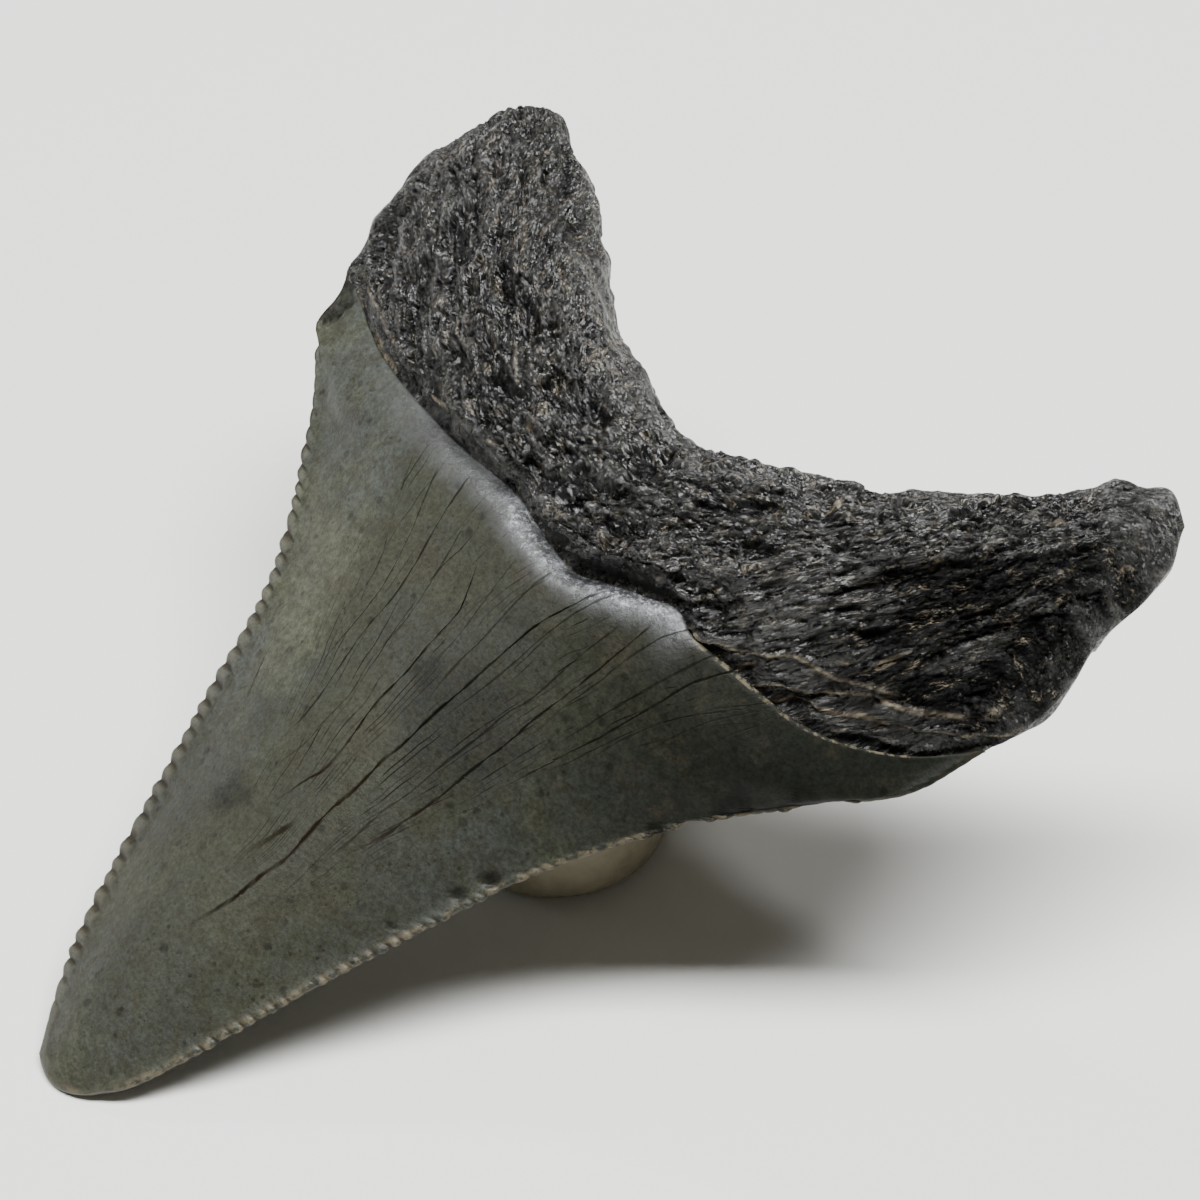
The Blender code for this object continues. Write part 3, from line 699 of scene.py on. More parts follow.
def rootRelief(s, u, fromNeck, length, points, inner):
    # height of the skin's relief in mm, with the finish values that go with it
    fine = np.linspace(0, 1, 401)
    half = rootPlan(fine, np.full_like(fine, 0.5), 1.0)
    run = np.concatenate([[0.0], np.cumsum(np.linalg.norm(np.diff(half, axis=0), axis=-1))])
    # the grain turns up into both lobes and is drawn out along the right one
    along = np.interp(s, fine, run)
    leftTurn, rightTurn = np.interp(rootPiece["grainTurns"], fine, run)
    up = fromNeck - length - 0.4 * np.maximum(along - rightTurn, 0) - 0.5 * np.maximum(leftTurn - along, 0)
    along = along - 0.22 * np.maximum(along - rightTurn, 0)
    z = points[:, 2]
    grain = np.stack([along, up, z], -1)
    warp = np.stack([cloud(grain * (0.35, 0.5, 0.5) + 7.0, 41), cloud(grain * (0.35, 0.5, 0.5) + 3.0, 42),
                     cloud(grain * (0.35, 0.5, 0.5), 43)], -1)
    bent = grain + warp * (0.9, 0.8, 0.8)
    fineWarp = np.stack([cloud(grain * (1.3, 1.6, 1.6), 44), cloud(grain * (1.3, 1.6, 1.6), 45),
                         cloud(grain * (1.3, 1.6, 1.6), 46)], -1)
    bent = bent + fineWarp * 0.22
    big, bigGap, bigLot = plates(bent * (0.5, 0.95, 0.95), 50)
    small, smallGap, smallLot = plates(bent * (1.05, 1.9, 1.9) + 5.0, 60)
    tiny = cloud(bent * (3.2, 6.0, 6.0), 70)
    relief = 0.27 * big + 0.17 * small + 0.05 * tiny
    relief = relief - 0.16 * (1 - eased(0.0, 0.25, bigGap)) - 0.07 * (1 - eased(0.0, 0.22, smallGap))
    # wide-open splits along the grain
    rift = np.abs(cloud(bent * (0.3, 1.1, 1.1) + 11.0, 75))
    relief = relief - 0.3 * (1 - eased(0.0, 0.12, rift)) * eased(0.0, 0.4, cloud(grain * 0.4, 76))
    relief = relief - 0.5 * eased(0.25, 0.6, cloud(bent * (0.4, 0.65, 0.65) + 2.0, 74))
    smooth = 0.35 * eased(0.7, 0.75, bigLot)
    tan = 0.5 * eased(0.975, 0.985, smallLot) * eased(0.1, 0.5, cloud(bent * 1.5, 77))
    extra = np.zeros_like(s)
    # share of painted shade on the side wall of the right lobe
    shadedWall = 0.5 * eased(0.8, 0.93, s)
    if inner:
        grooveAt = np.array(rootPiece["groove"])
        near = hump(fromNeck, np.interp(s, grooveAt[:, 0], grooveAt[:, 1]), rootPiece["grooveWidth"])
        near = near * eased(0.41, 0.46, s) * (1 - eased(0.66, 0.70, s))
        extra = extra - rootPiece["grooveDepth"] * near
        smooth = np.maximum(smooth, eased(0.55, 0.9, near))
        band = (1 - eased(0.39, 0.43, s)) * (1 - eased(0.9, 1.5, fromNeck)) * eased(0.02, 0.06, s)
        smooth = np.maximum(smooth, 0.7 * band)
        strips = np.stack([along * 0.3, fromNeck * 3.2, 0 * z], -1)
        extra = extra - (0.1 + 0.13 * cloud(strips, 78)) * band
        tan = np.maximum(tan, 0.7 * band * eased(0.35, 0.6, cloud(strips * (1.6, 1.3, 1.0) + 4.0, 79)))
        for step, line in rootPiece["ledges"]:
            above, beside = distanceAbove(line, s, u, length)
            above = above + 0.12 * cloud(grain * (1.1, 1.1, 1.1), 81)
            extra = extra - step * beside * (1 - eased(-0.06, 0.06, above)) * (1 - eased(1.2, 2.5, -above))
            tan = np.maximum(tan, beside * hump(above, 0.04, 0.09))
            under = (1 - eased(0.0, 0.4, above)) * (1 - eased(1.2, 2.5, -above))
            smooth = np.maximum(smooth, 0.5 * beside * under)
        above, beside = distanceAbove(rootPiece["brokenLedge"], s, u, length)
        shadedWall = eased(0.78, 0.88, s) * (1 - eased(-0.35, 0.15, above))
        above = above + 0.25 * cloud(grain * (0.7, 0.7, 0.7), 82)
        beside = beside * (1 - eased(0.92, 0.98, s))
        extra = extra + beside * (0.2 * eased(-0.4, 0.2, above) * (1 - eased(1.0, 3.0, above))
                                  + 0.22 * hump(above, 0.1, 0.4))
        for width, depth, line in rootPiece["splits"]:
            track = rootPlan(np.array([p[0] for p in line]), np.array([p[1] for p in line]), 1.0)
            away = distanceTo([tuple(p) for p in track], points[:, 0] + 0.25 * fineWarp[:, 0],
                              points[:, 1] + 0.25 * fineWarp[:, 1])
            extra = extra - depth * hump(away, 0.0, width)
        endFacet = eased(0.90, 0.93, s) * eased(0.72, 0.8, u)
        smooth = np.maximum(smooth, 0.5 * endFacet)
    rim = np.minimum(eased(0.0, 0.05, np.minimum(s, 1 - s)), eased(0.0, 0.14, 1 - u))
    rough = (1 - 0.7 * smooth) * eased(-0.1, 0.5, fromNeck) * mixed(0.3, 1.0, rim)
    # a blunt fold runs up the left lobe, the side beyond it is cut back
    if inner:
        track = np.array(rootPiece["lobeFold"])
        away = distanceTo([tuple(spot) for spot in track], points[:, 0], points[:, 1])
        extra = extra + 0.4 * hump(away, 0.0, 0.9) * eased(0.3, 0.5, u) * (1 - eased(0.85, 1.0, u))
    values = {"relief": relief * rough, "smoothness": smooth, "shadedWall": shadedWall,
              "tan": tan * eased(0.0, 0.2, fromNeck)}
    return relief * rough + extra, values, grain


def lumpsOf(points):
    # the same lumps as the solid's
    made = np.zeros(len(points))
    centre = rootPiece["lumpCentre"]
    for k, (px, py, pz) in enumerate(points):
        x = px - centre[0]
        y = py - centre[1]
        spot = Vector((math.atan2(y, x) * rootPiece["lumpRadius"], math.hypot(x, y), pz))
        coarse = noise.noise(Vector((spot.x * 0.16, spot.y * 0.34, spot.z * 0.3)))
        fine = noise.noise(Vector((spot.x * 0.45, spot.y * 0.8, spot.z * 0.7)))
        made[k] = toothForm["lumpHeight"] * (coarse + 0.6 * fine)
    return made


def buildRoot():
    s = rootColumns()
    innerPoints, innerS, innerU, innerNeck, innerLength = rootSheet(True, s)
    outerPoints, outerS, outerU, outerNeck, outerLength = rootSheet(False, s)
    for rim in (innerPoints[:, 0], innerPoints[:, -1], innerPoints[-1]):
        rim[:, 2] = 0
    rows, cols = innerPoints.shape[:2]
    innerIds = np.arange(rows * cols).reshape(rows, cols)
    outerIds = np.full(outerPoints.shape[:2], -1)
    free = np.zeros(outerIds.shape, bool)
    free[:-1, 1:-1] = True
    outerIds[free] = rows * cols + np.arange(free.sum())
    outerIds[-1] = innerIds[-1]
    outerIds[:, 0] = innerIds[0, 0]
    outerIds[:, -1] = innerIds[0, -1]

    def both(inner, outer):
        return np.concatenate([inner.reshape(-1, *inner.shape[2:]), outer[free]], 0)

    points = both(innerPoints, outerPoints)
    quads = np.concatenate([gridQuads(innerIds, True), gridQuads(outerIds[:, 1:-1], False)], 0)
    tris = np.concatenate([
        stitched(innerIds[:, 0], innerU[:, 0], outerIds[:, 1], outerU[:, 1]),
        stitched(innerIds[:, -1], innerU[:, -1], outerIds[:, -2], outerU[:, -2])[:, ::-1],
        stitched(innerIds[0], innerS[0], outerIds[0], outerS[0])[:, ::-1]], 0)
    thing = makeMesh("root", points, quads, tris)
    allS, allU = both(innerS, outerS), both(innerU, outerU)
    allNeck, allLength = both(innerNeck, outerNeck), both(innerLength, outerLength)
    moveBy(thing, lumpsOf(points) * eased(0.03, 0.1, allU))
    count = rows * cols
    halves = []
    for part, inner in ((slice(0, count), True), (slice(count, None), False)):
        halves.append(rootRelief(allS[part], allU[part], allNeck[part], allLength[part], points[part],
                                 inner))
    moveBy(thing, np.concatenate([half[0] for half in halves]))
    # the sharp ends of the sheet are worn round
    nearEnd = np.minimum(allS, 1 - allS)
    corner = np.exp(-(nearEnd / 0.025) ** 2 - ((1 - allU) / 0.08) ** 2)
    wearDown(thing, np.maximum(corner, 0.08 * hump(nearEnd, 0.0, 0.008)) * eased(0.04, 0.12, allU), 200)
    moved = pointsOf(thing)
    for x, y, reach, moveX, moveY in rootPiece["blunted"]:
        near = hump(np.hypot(points[:, 0] - x, points[:, 1] - y), 0.0, reach)
        moved[:, 0] += moveX * near
        moved[:, 1] += moveY * near
    setPoints(thing, moved)
    for name in halves[0][1]:
        keepValue(thing, name, np.concatenate([half[1][name] for half in halves]))
    keepValue(thing, "grain", np.concatenate([half[2] for half in halves]))
    print("root:", len(quads) * 2 + len(tris), "triangles")
    return thing


def poseOf(things):
    # turn into the pose, then line up with the solid's box: its low x side, its middle in y, its foot
    turn = restingTurn()
    spots = np.concatenate([pointsOf(thing) for thing in things]) @ np.array(turn.to_3x3()).T
    low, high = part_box("tooth")
    middle = 0.5 * (spots.min(0) + spots.max(0)) * millimetre
    shift = Vector((low.x - spots[:, 0].min() * millimetre, 0.5 * (low.y + high.y) - middle[1],
                    low.z - spots[:, 2].min() * millimetre))
    return Matrix.Translation(shift) @ Matrix.Scale(millimetre, 4) @ turn


propPiece = {
    "radius": 6.0,
    "topRadius": 5.62,
    "sides": 120,
    "clearance": 0.12,          # to the tooth above it
    "edge": 0.9,                # rounding of the lower edge
}


def buildProp(crown):
    low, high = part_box("prop")
    centre = 0.5 * (low + high) / millimetre
    tree = BVHTree.FromObject(crown, bpy.context.evaluated_depsgraph_get())
    up = Vector((0, 0, 1))
    sides = propPiece["sides"]
    angles = np.arange(sides) * 2 * np.pi / sides

    def under(x, y):
        hit = tree.ray_cast(Vector((x, y, -1.0)) * millimetre, up)[0]
        return hit.z / millimetre - propPiece["clearance"]

    radius, edge = propPiece["radius"], propPiece["edge"]
    rings = []
    for share in (0.25, 0.5, 0.75, 1.0):
        rings.append(("level", (radius - edge) * share, 0.0))
    for angle in np.radians([15, 30, 45, 60, 75, 90]):
        rings.append(("level", radius - edge + edge * np.sin(angle), edge * (1 - np.cos(angle))))
    for share in np.linspace(0.04, 0.94, 24):
        rings.append(("side", share, 0.0))
    for angle in np.radians([20, 45, 70, 90]):
        rings.append(("lip", angle, 0.0))
    for share in np.linspace(0.9, 0.1, 12):
        rings.append(("top", share, 0.0))
    points = []
    for kind, first, second in rings:
        for angle in angles:
            cx, cy = math.cos(angle), math.sin(angle)
            waver = 1 + 0.012 * noise.noise(Vector((cx * 1.6, cy * 1.6, 4.0)))
            if kind == "level":
                points.append((centre.x + cx * first * waver, centre.y + cy * first * waver, second))
                continue
            topRadius = propPiece["topRadius"] * waver
            top = under(centre.x + cx * topRadius * 0.985, centre.y + cy * topRadius * 0.985) - 0.25
            if kind == "side":
                at = mixed(radius * waver, topRadius, first)
                z = mixed(edge, top, first)
                at += 0.05 * noise.noise(Vector((cx * 3, cy * 3, z * 0.5)))
                points.append((centre.x + cx * at, centre.y + cy * at, z))
            elif kind == "lip":
                at = topRadius - 0.25 * (1 - math.cos(first))
                points.append((centre.x + cx * at, centre.y + cy * at, top + 0.25 * math.sin(first) - 0.02))
            else:
                at = (topRadius - 0.25) * first
                x, y = centre.x + cx * at, centre.y + cy * at
                points.append((x, y, under(x, y)))
    count = len(rings)
    ids = np.arange(count * sides).reshape(count, sides)
    wrapped = np.concatenate([ids, ids[:, :1]], 1)
    points += [(centre.x, centre.y, 0.0), (centre.x, centre.y, under(centre.x, centre.y))]
    bottom, peak = count * sides, count * sides + 1
    tris = [(wrapped[0, k + 1], wrapped[0, k], bottom) for k in range(sides)]
    tris += [(wrapped[-1, k], wrapped[-1, k + 1], peak) for k in range(sides)]
    thing = makeMesh("prop-stub", np.array(points) * millimetre, gridQuads(wrapped, True), np.array(tris))
    keepValue(thing, "place", np.array(points))
    print("prop:", (count - 1) * sides * 2 + len(tris), "triangles")
    return thing


class FinishNodes:
    # short ways to add and join shader nodes

    def __init__(self, name):
        self.material = bpy.data.materials.new(name)
        self.material.use_nodes = True
        self.tree = self.material.node_tree
        self.shader = self.tree.nodes["Principled BSDF"]

    def put(self, kind, inputs, output=0, **settings):
        node = self.tree.nodes.new(kind)
        for key, value in settings.items():
            setattr(node, key, value)
        for key, value in inputs.items():
            if isinstance(value, bpy.types.NodeSocket):
                self.tree.links.new(value, node.inputs[key])
            else:
                node.inputs[key].default_value = value
        return node.outputs[output]

    def field(self, name):
        return self.put("ShaderNodeAttribute", {}, "Fac", attribute_name=name)

    def spot(self, name):
        return self.put("ShaderNodeAttribute", {}, "Vector", attribute_name=name)

    def math(self, operation, first, second=0.0):
        return self.put("ShaderNodeMath", {0: first, 1: second}, operation=operation)

    def plus(self, first, second):
        return self.math("ADD", first, second)

    def minus(self, first, second):
        return self.math("SUBTRACT", first, second)

    def times(self, first, second):
        return self.math("MULTIPLY", first, second)

    def span(self, value, low, high, toLow=0.0, toHigh=1.0):
        # eased from one span of values to another
        return self.put("ShaderNodeMapRange", {0: value, 1: low, 2: high, 3: toLow, 4: toHigh},
                        interpolation_type="SMOOTHSTEP")

    def stretched(self, vector, scale):
        return self.put("ShaderNodeVectorMath", {0: vector, 1: scale}, operation="MULTIPLY")

    def shifted(self, vector, amount):
        return self.put("ShaderNodeVectorMath", {0: vector, 1: amount}, operation="ADD")

    def cloud(self, vector, scale, detail=4.0, roughness=0.5):
        return self.put("ShaderNodeTexNoise", {"Vector": vector, "Scale": scale, "Detail": detail,
                                               "Roughness": roughness})

    def cells(self, vector, scale):
        return self.put("ShaderNodeTexVoronoi", {"Vector": vector, "Scale": scale}, "Distance")

    def blend(self, share, first, second, how="MIX"):
        node = self.tree.nodes.new("ShaderNodeMix")
        node.data_type = "RGBA"
        node.blend_type = how
        for key, value in ((0, share), (6, first), (7, second)):
            if isinstance(value, bpy.types.NodeSocket):
                self.tree.links.new(value, node.inputs[key])
            elif key and isinstance(value, float):
                node.inputs[key].default_value = (value, value, value, 1.0)
            elif isinstance(value, tuple):
                node.inputs[key].default_value = (*value, 1.0)
            else:
                node.inputs[key].default_value = value
        return node.outputs[2]

    def bump(self, height, depth, under=None):
        inputs = {"Height": height, "Strength": 1.0, "Distance": depth * millimetre}
        if under is not None:
            inputs["Normal"] = under
        return self.put("ShaderNodeBump", inputs)

    def finish(self, **sockets):
        for name, value in sockets.items():
            socket = self.shader.inputs[name.replace("_", " ")]
            if isinstance(value, bpy.types.NodeSocket):
                self.tree.links.new(value, socket)
            else:
                socket.default_value = value
        return self.material


enamelLook = {
    "olive": (0.071, 0.076, 0.051),
    "bluish": (0.054, 0.061, 0.054),
    "streaked": (0.018, 0.019, 0.013),
    "mottled": (0.027, 0.026, 0.017),
    "brown": (0.032, 0.027, 0.017),
    "deep": (0.007, 0.008, 0.006),      # painted shade towards the shoulder at the right of the neck
    "beadPaleAndHighlight": (0.100, 0.097, 0.080),
    "grooveDark": (0.018, 0.014, 0.009),
    # painted sheen and painted glint along the rolled-over neck
    "paintedSheen": (0.20, 0.21, 0.23),
    "glint": (0.40, 0.41, 0.44),
    "crackDark": (0.003, 0.003, 0.002),
    "crackBrown": (0.010, 0.007, 0.004),
    "edgeTan": (0.12, 0.102, 0.067),
    "roughness": 0.40,
    "gloss": 0.24,
    "neckGloss": 1.0,         # where the enamel rolls over at the neck
    "faintLines": 52.0,         # across the whole fan of cracks
    # dark specks: cells per mm, reach in cells and how much of the cloud stays clear
    "specks": [(0.8, 0.20, 0.50), (1.5, 0.16, 0.48), (2.6, 0.15, 0.50)],
    "stainDark": (0.014, 0.015, 0.014),
    # x, y, reach and strength of the larger dark stains
    "stains": [(5.2, 26.6, 3.4, 0.75), (-13.8, 34.2, 3.5, 0.2), (2.4, 27.6, 1.1, 0.8),
               (-3.0, 16.8, 1.2, 0.7), (-4.9, 21.1, 1.5, 0.4), (-13.5, 35.6, 1.0, 0.4)],
}


def enamelFinish():
    n = FinishNodes("satin enamel")
    place = n.spot("place")
    flat = n.stretched(place, (1.0, 1.0, 0.0))
    split = n.tree.nodes.new("ShaderNodeSeparateXYZ")
    n.tree.links.new(place, split.inputs[0])
    x, y = split.outputs[0], split.outputs[1]
    notch, rim, inFan = n.field("notch"), n.field("rimAway"), n.field("inFan")
    neckAway, across = n.field("neckAway"), n.field("across")
    # cracks
    waver = n.times(n.minus(n.cloud(place, 1.3, 3.0), 0.5), 0.09)
    part = n.math("FRACT", n.plus(n.field("streak"), 0.5))
    away = n.times(n.minus(part, 0.5), n.field("streakGap"))
    away = n.math("ABSOLUTE", n.plus(away, waver))
    width = n.times(n.field("streakWidth"), n.span(n.cloud(place, 1.1, 3.0), 0.3, 0.7, 0.6, 2.2))
    line = n.minus(1.0, n.span(n.math("DIVIDE", away, width), 0.5, 1.9))
    patchy = n.span(n.cloud(n.stretched(place, (1.5, 0.5, 1.0)), 1.0, 3.0), 0.32, 0.5, 0.6, 1.0)
    crack = n.times(n.times(line, n.field("streakStrength")), patchy)
    # faint lines beside the cracks
    sway = n.times(n.minus(n.cloud(place, 0.22, 2.0), 0.5), 2.6)
    row = n.plus(n.times(n.field("fanAcross"), enamelLook["faintLines"]), sway)
    offset = n.minus(n.math("FRACT", row), 0.5)
    offset = n.plus(offset, n.times(n.minus(n.cloud(place, 1.0, 3.0), 0.5), 0.3))
    offset = n.times(n.math("ABSOLUTE", offset), n.field("fanWidth"))
    lot = n.put("ShaderNodeTexWhiteNoise", {"W": n.math("FLOOR", row)}, noise_dimensions="1D")
    hair = n.minus(1.0, n.span(offset, 0.4, 1.6))
    hair = n.times(n.times(hair, inFan), n.span(lot, 0.15, 0.9, 0.1, 1.0))
    hair = n.times(hair, n.span(n.cloud(n.stretched(place, (1.0, 0.35, 1.0)), 0.8, 3.0), 0.42, 0.6))
    # colour
    colour = n.blend(n.span(n.cloud(place, 0.17, 5.0, 0.62), 0.38, 0.62), enamelLook["olive"],
                     enamelLook["bluish"])
    # painted shade: the enamel darkens towards the right, which lies in shade, and the mottle darkens with
    # it further down
    paintedShadeToRight = n.plus(n.times(x, 0.055), n.times(neckAway, -0.02))
    paintedShadeToRight = n.plus(paintedShadeToRight, n.times(n.cloud(place, 0.2, 3.0), 0.3))
    paintedShadeToRight = n.span(paintedShadeToRight, -0.3, 1.05)
    colour = n.blend(n.times(paintedShadeToRight, 0.96), colour, enamelLook["deep"])
    colour = n.blend(n.times(inFan, 0.58), colour, enamelLook["streaked"])
    dusky = n.span(n.cloud(n.shifted(place, (31.0, 7.0, 3.0)), 0.5, 6.0, 0.66), 0.48, 0.7)
    colour = n.blend(n.times(dusky, 0.5), colour, enamelLook["brown"])
    lower = n.times(n.span(y, 0.0, 7.0, 0.5, 1.0), n.span(y, 26.0, 15.0))
    colour = n.blend(n.times(lower, 0.58), colour, enamelLook["streaked"])
    stained = 0.0
    ragged = n.times(n.minus(n.cloud(place, 0.8, 4.0), 0.5), 2.2)
    for spotX, spotY, reach, strength in enamelLook["stains"]:
        offset = n.put("ShaderNodeVectorMath", {0: flat, 1: (spotX, spotY, 0.0)}, "Value",
                       operation="DISTANCE")
        offset = n.plus(offset, ragged)
        stain = n.times(n.minus(1.0, n.span(offset, 0.4 * reach, 1.4 * reach)), strength)
        colour = n.blend(stain, colour, enamelLook["stainDark"])
        stained = n.math("MAXIMUM", stain, stained)
    mottle = n.span(n.cloud(place, 1.5, 6.0, 0.72), 0.38, 0.64, 0.0, 0.7)
    colour = n.blend(mottle, colour, n.blend(paintedShadeToRight, enamelLook["mottled"], enamelLook["deep"]))
    colour = n.blend(1.0, colour, n.span(n.cloud(place, 4.6, 5.0, 0.75), 0.3, 0.7, 0.62, 1.25), "MULTIPLY")
    wobble = n.cloud(place, 3.0, 2.0)
    for perMillimetre, reach, often in enamelLook["specks"]:
        speck = n.plus(n.cells(place, perMillimetre), n.times(wobble, 0.12))
        speck = n.minus(1.0, n.span(speck, reach, reach + 0.12))
        speck = n.times(speck, n.span(n.cloud(n.shifted(place, (perMillimetre, 5.0, 0.0)), 0.9, 2.0),
                                                 often, often + 0.08))
        colour = n.blend(n.times(speck, 0.5), colour, enamelLook["crackDark"])
    colour = n.blend(n.times(hair, 0.95), colour, enamelLook["crackDark"])
    crumb = n.times(n.span(n.cloud(place, 1.5, 5.0, 0.7), 0.44, 0.6),
                   n.minus(1.0, n.span(rim, 0.1, 0.55)))
    crumb = n.times(crumb, n.span(neckAway, 2.0, 14.0, 0.15, 1.0))
    crumb = n.times(crumb, n.span(across, 0.3, 0.7, 0.35, 1.0))
    lip = n.times(n.minus(1.0, n.span(neckAway, 0.02, 0.1)),
                 n.times(n.span(across, 0.69, 0.715), n.span(across, 0.99, 0.95)))
    lip = n.times(lip, n.span(n.cloud(place, 2.6, 5.0, 0.7), 0.47, 0.58))
    flaked = n.field("flaked")
    colour = n.blend(n.times(flaked, n.span(n.cloud(place, 2.4, 4.0), 0.35, 0.6, 0.97, 0.7)), colour,
                     enamelLook["crackDark"])
    colour = n.blend(n.times(crumb, 0.8), colour, enamelLook["edgeTan"])
    colour = n.blend(n.times(lip, 0.8), colour, enamelLook["edgeTan"])
    # the crests of the left beads are paler: partly the edge's own paler enamel, partly painted highlight
    bead = n.times(n.span(rim, 0.9, 0.4), n.span(notch, 0.25, 0.02))
    bead = n.times(bead, n.span(across, 0.4, 0.2, 0.0, 0.5))
    bead = n.times(bead, n.span(neckAway, 7.0, 11.0))
    colour = n.blend(bead, colour, enamelLook["beadPaleAndHighlight"])
    colour = n.blend(n.times(n.span(notch, 0.1, 0.55), 0.85), colour, enamelLook["grooveDark"])
    # darker along the upper left edge
    upperLeftEdgeDark = n.times(n.span(rim, 0.42, 0.1), n.span(across, 0.4, 0.2))
    upperLeftEdgeDark = n.times(upperLeftEdgeDark, n.span(neckAway, 16.0, 9.0))
    upperLeftEdgeDark = n.times(upperLeftEdgeDark, n.span(n.cloud(place, 1.2, 4.0), 0.36, 0.5, 0.3, 0.85))
    colour = n.blend(upperLeftEdgeDark, colour, enamelLook["grooveDark"])
    brown = n.times(n.span(y, 26.0, 20.0), n.span(y, 11.0, 14.0))
    colour = n.blend(crack, colour, n.blend(brown, enamelLook["crackDark"], enamelLook["crackBrown"]))
    # gloss and fine relief
    rough = n.span(n.cloud(place, 1.3, 5.0, 0.6), 0.3, 0.7, enamelLook["roughness"] - 0.06,
                   enamelLook["roughness"] + 0.10)
    # painted highlight: a silvery sheen and a brighter glint core are painted along the neck, where the
    # enamel is also less rough and more glossy
    reach = n.plus(neckAway, n.times(n.minus(n.cloud(place, 0.5, 3.0), 0.5), 1.6))
    neckGlossAndSheen = n.times(n.span(reach, 2.5, 0.0), n.span(across, 0.74, 0.66))
    neckGlossAndSheen = n.times(neckGlossAndSheen, n.span(across, 0.05, 0.48))
    paintedSheen = n.times(neckGlossAndSheen, n.span(n.cloud(place, 3.4, 6.0, 0.75), 0.34, 0.62, 0.25, 0.85))
    paintedSheen = n.times(paintedSheen, n.minus(1.0, crack))
    colour = n.blend(n.times(paintedSheen, 0.6), colour, enamelLook["paintedSheen"])
    paintedGlint = n.times(n.span(reach, 1.5, 0.3), n.span(across, 0.36, 0.5))
    paintedGlint = n.times(paintedGlint, n.span(n.cloud(n.shifted(place, (9.0, 4.0, 0.0)), 3.2, 6.0, 0.75), 0.46, 0.66))
    paintedGlint = n.times(paintedGlint, n.minus(n.span(across, 0.72, 0.66), crack))
    colour = n.blend(paintedGlint, colour, enamelLook["glint"])
    rough = n.minus(rough, n.times(neckGlossAndSheen, 0.25))
    rough = n.minus(rough, n.times(paintedGlint, 0.05))
    gloss = n.blend(neckGlossAndSheen, n.span(paintedShadeToRight, 0.0, 1.0, enamelLook["gloss"], 0.3 * enamelLook["gloss"]),
                    enamelLook["neckGloss"])
    grain = n.bump(n.cloud(place, 4.0, 5.0, 0.7), 0.03)
    pitted = n.times(n.cloud(place, 6.5, 5.0, 0.75), n.plus(0.12, neckGlossAndSheen))
    dull = n.math("MAXIMUM", crack, n.times(hair, 0.7))
    gloss = n.times(gloss, n.minus(1.0, dull))
    gloss = n.times(gloss, n.minus(1.0, n.times(stained, 0.5)))
    rough = n.minus(rough, n.times(bead, 0.3))
    rough = n.plus(rough, n.times(dull, 0.3))
    relief = n.bump(n.times(crack, -1.0), 0.025, n.bump(pitted, 0.055, grain))
    return n.finish(Base_Color=colour, Roughness=rough, Normal=relief, Specular_IOR_Level=gloss,
                    Metallic=n.times(paintedSheen, 0.7))


rootLook = {
    "dark": (0.004, 0.004, 0.004),
    "skin": (0.026, 0.026, 0.025),
    # grey of the raised flecks, partly painted light on their tops
    "worn": (0.120, 0.118, 0.108),
    "smooth": (0.010, 0.010, 0.010),
    "tan": (0.23, 0.195, 0.135),
    "roughness": 0.27,
    "gloss": 0.75,
    # flakes per mm along the grain, and their depth in mm
    "flakes": [(1.5, 0.30), (3.3, 0.26), (6.5, 0.13)],
}


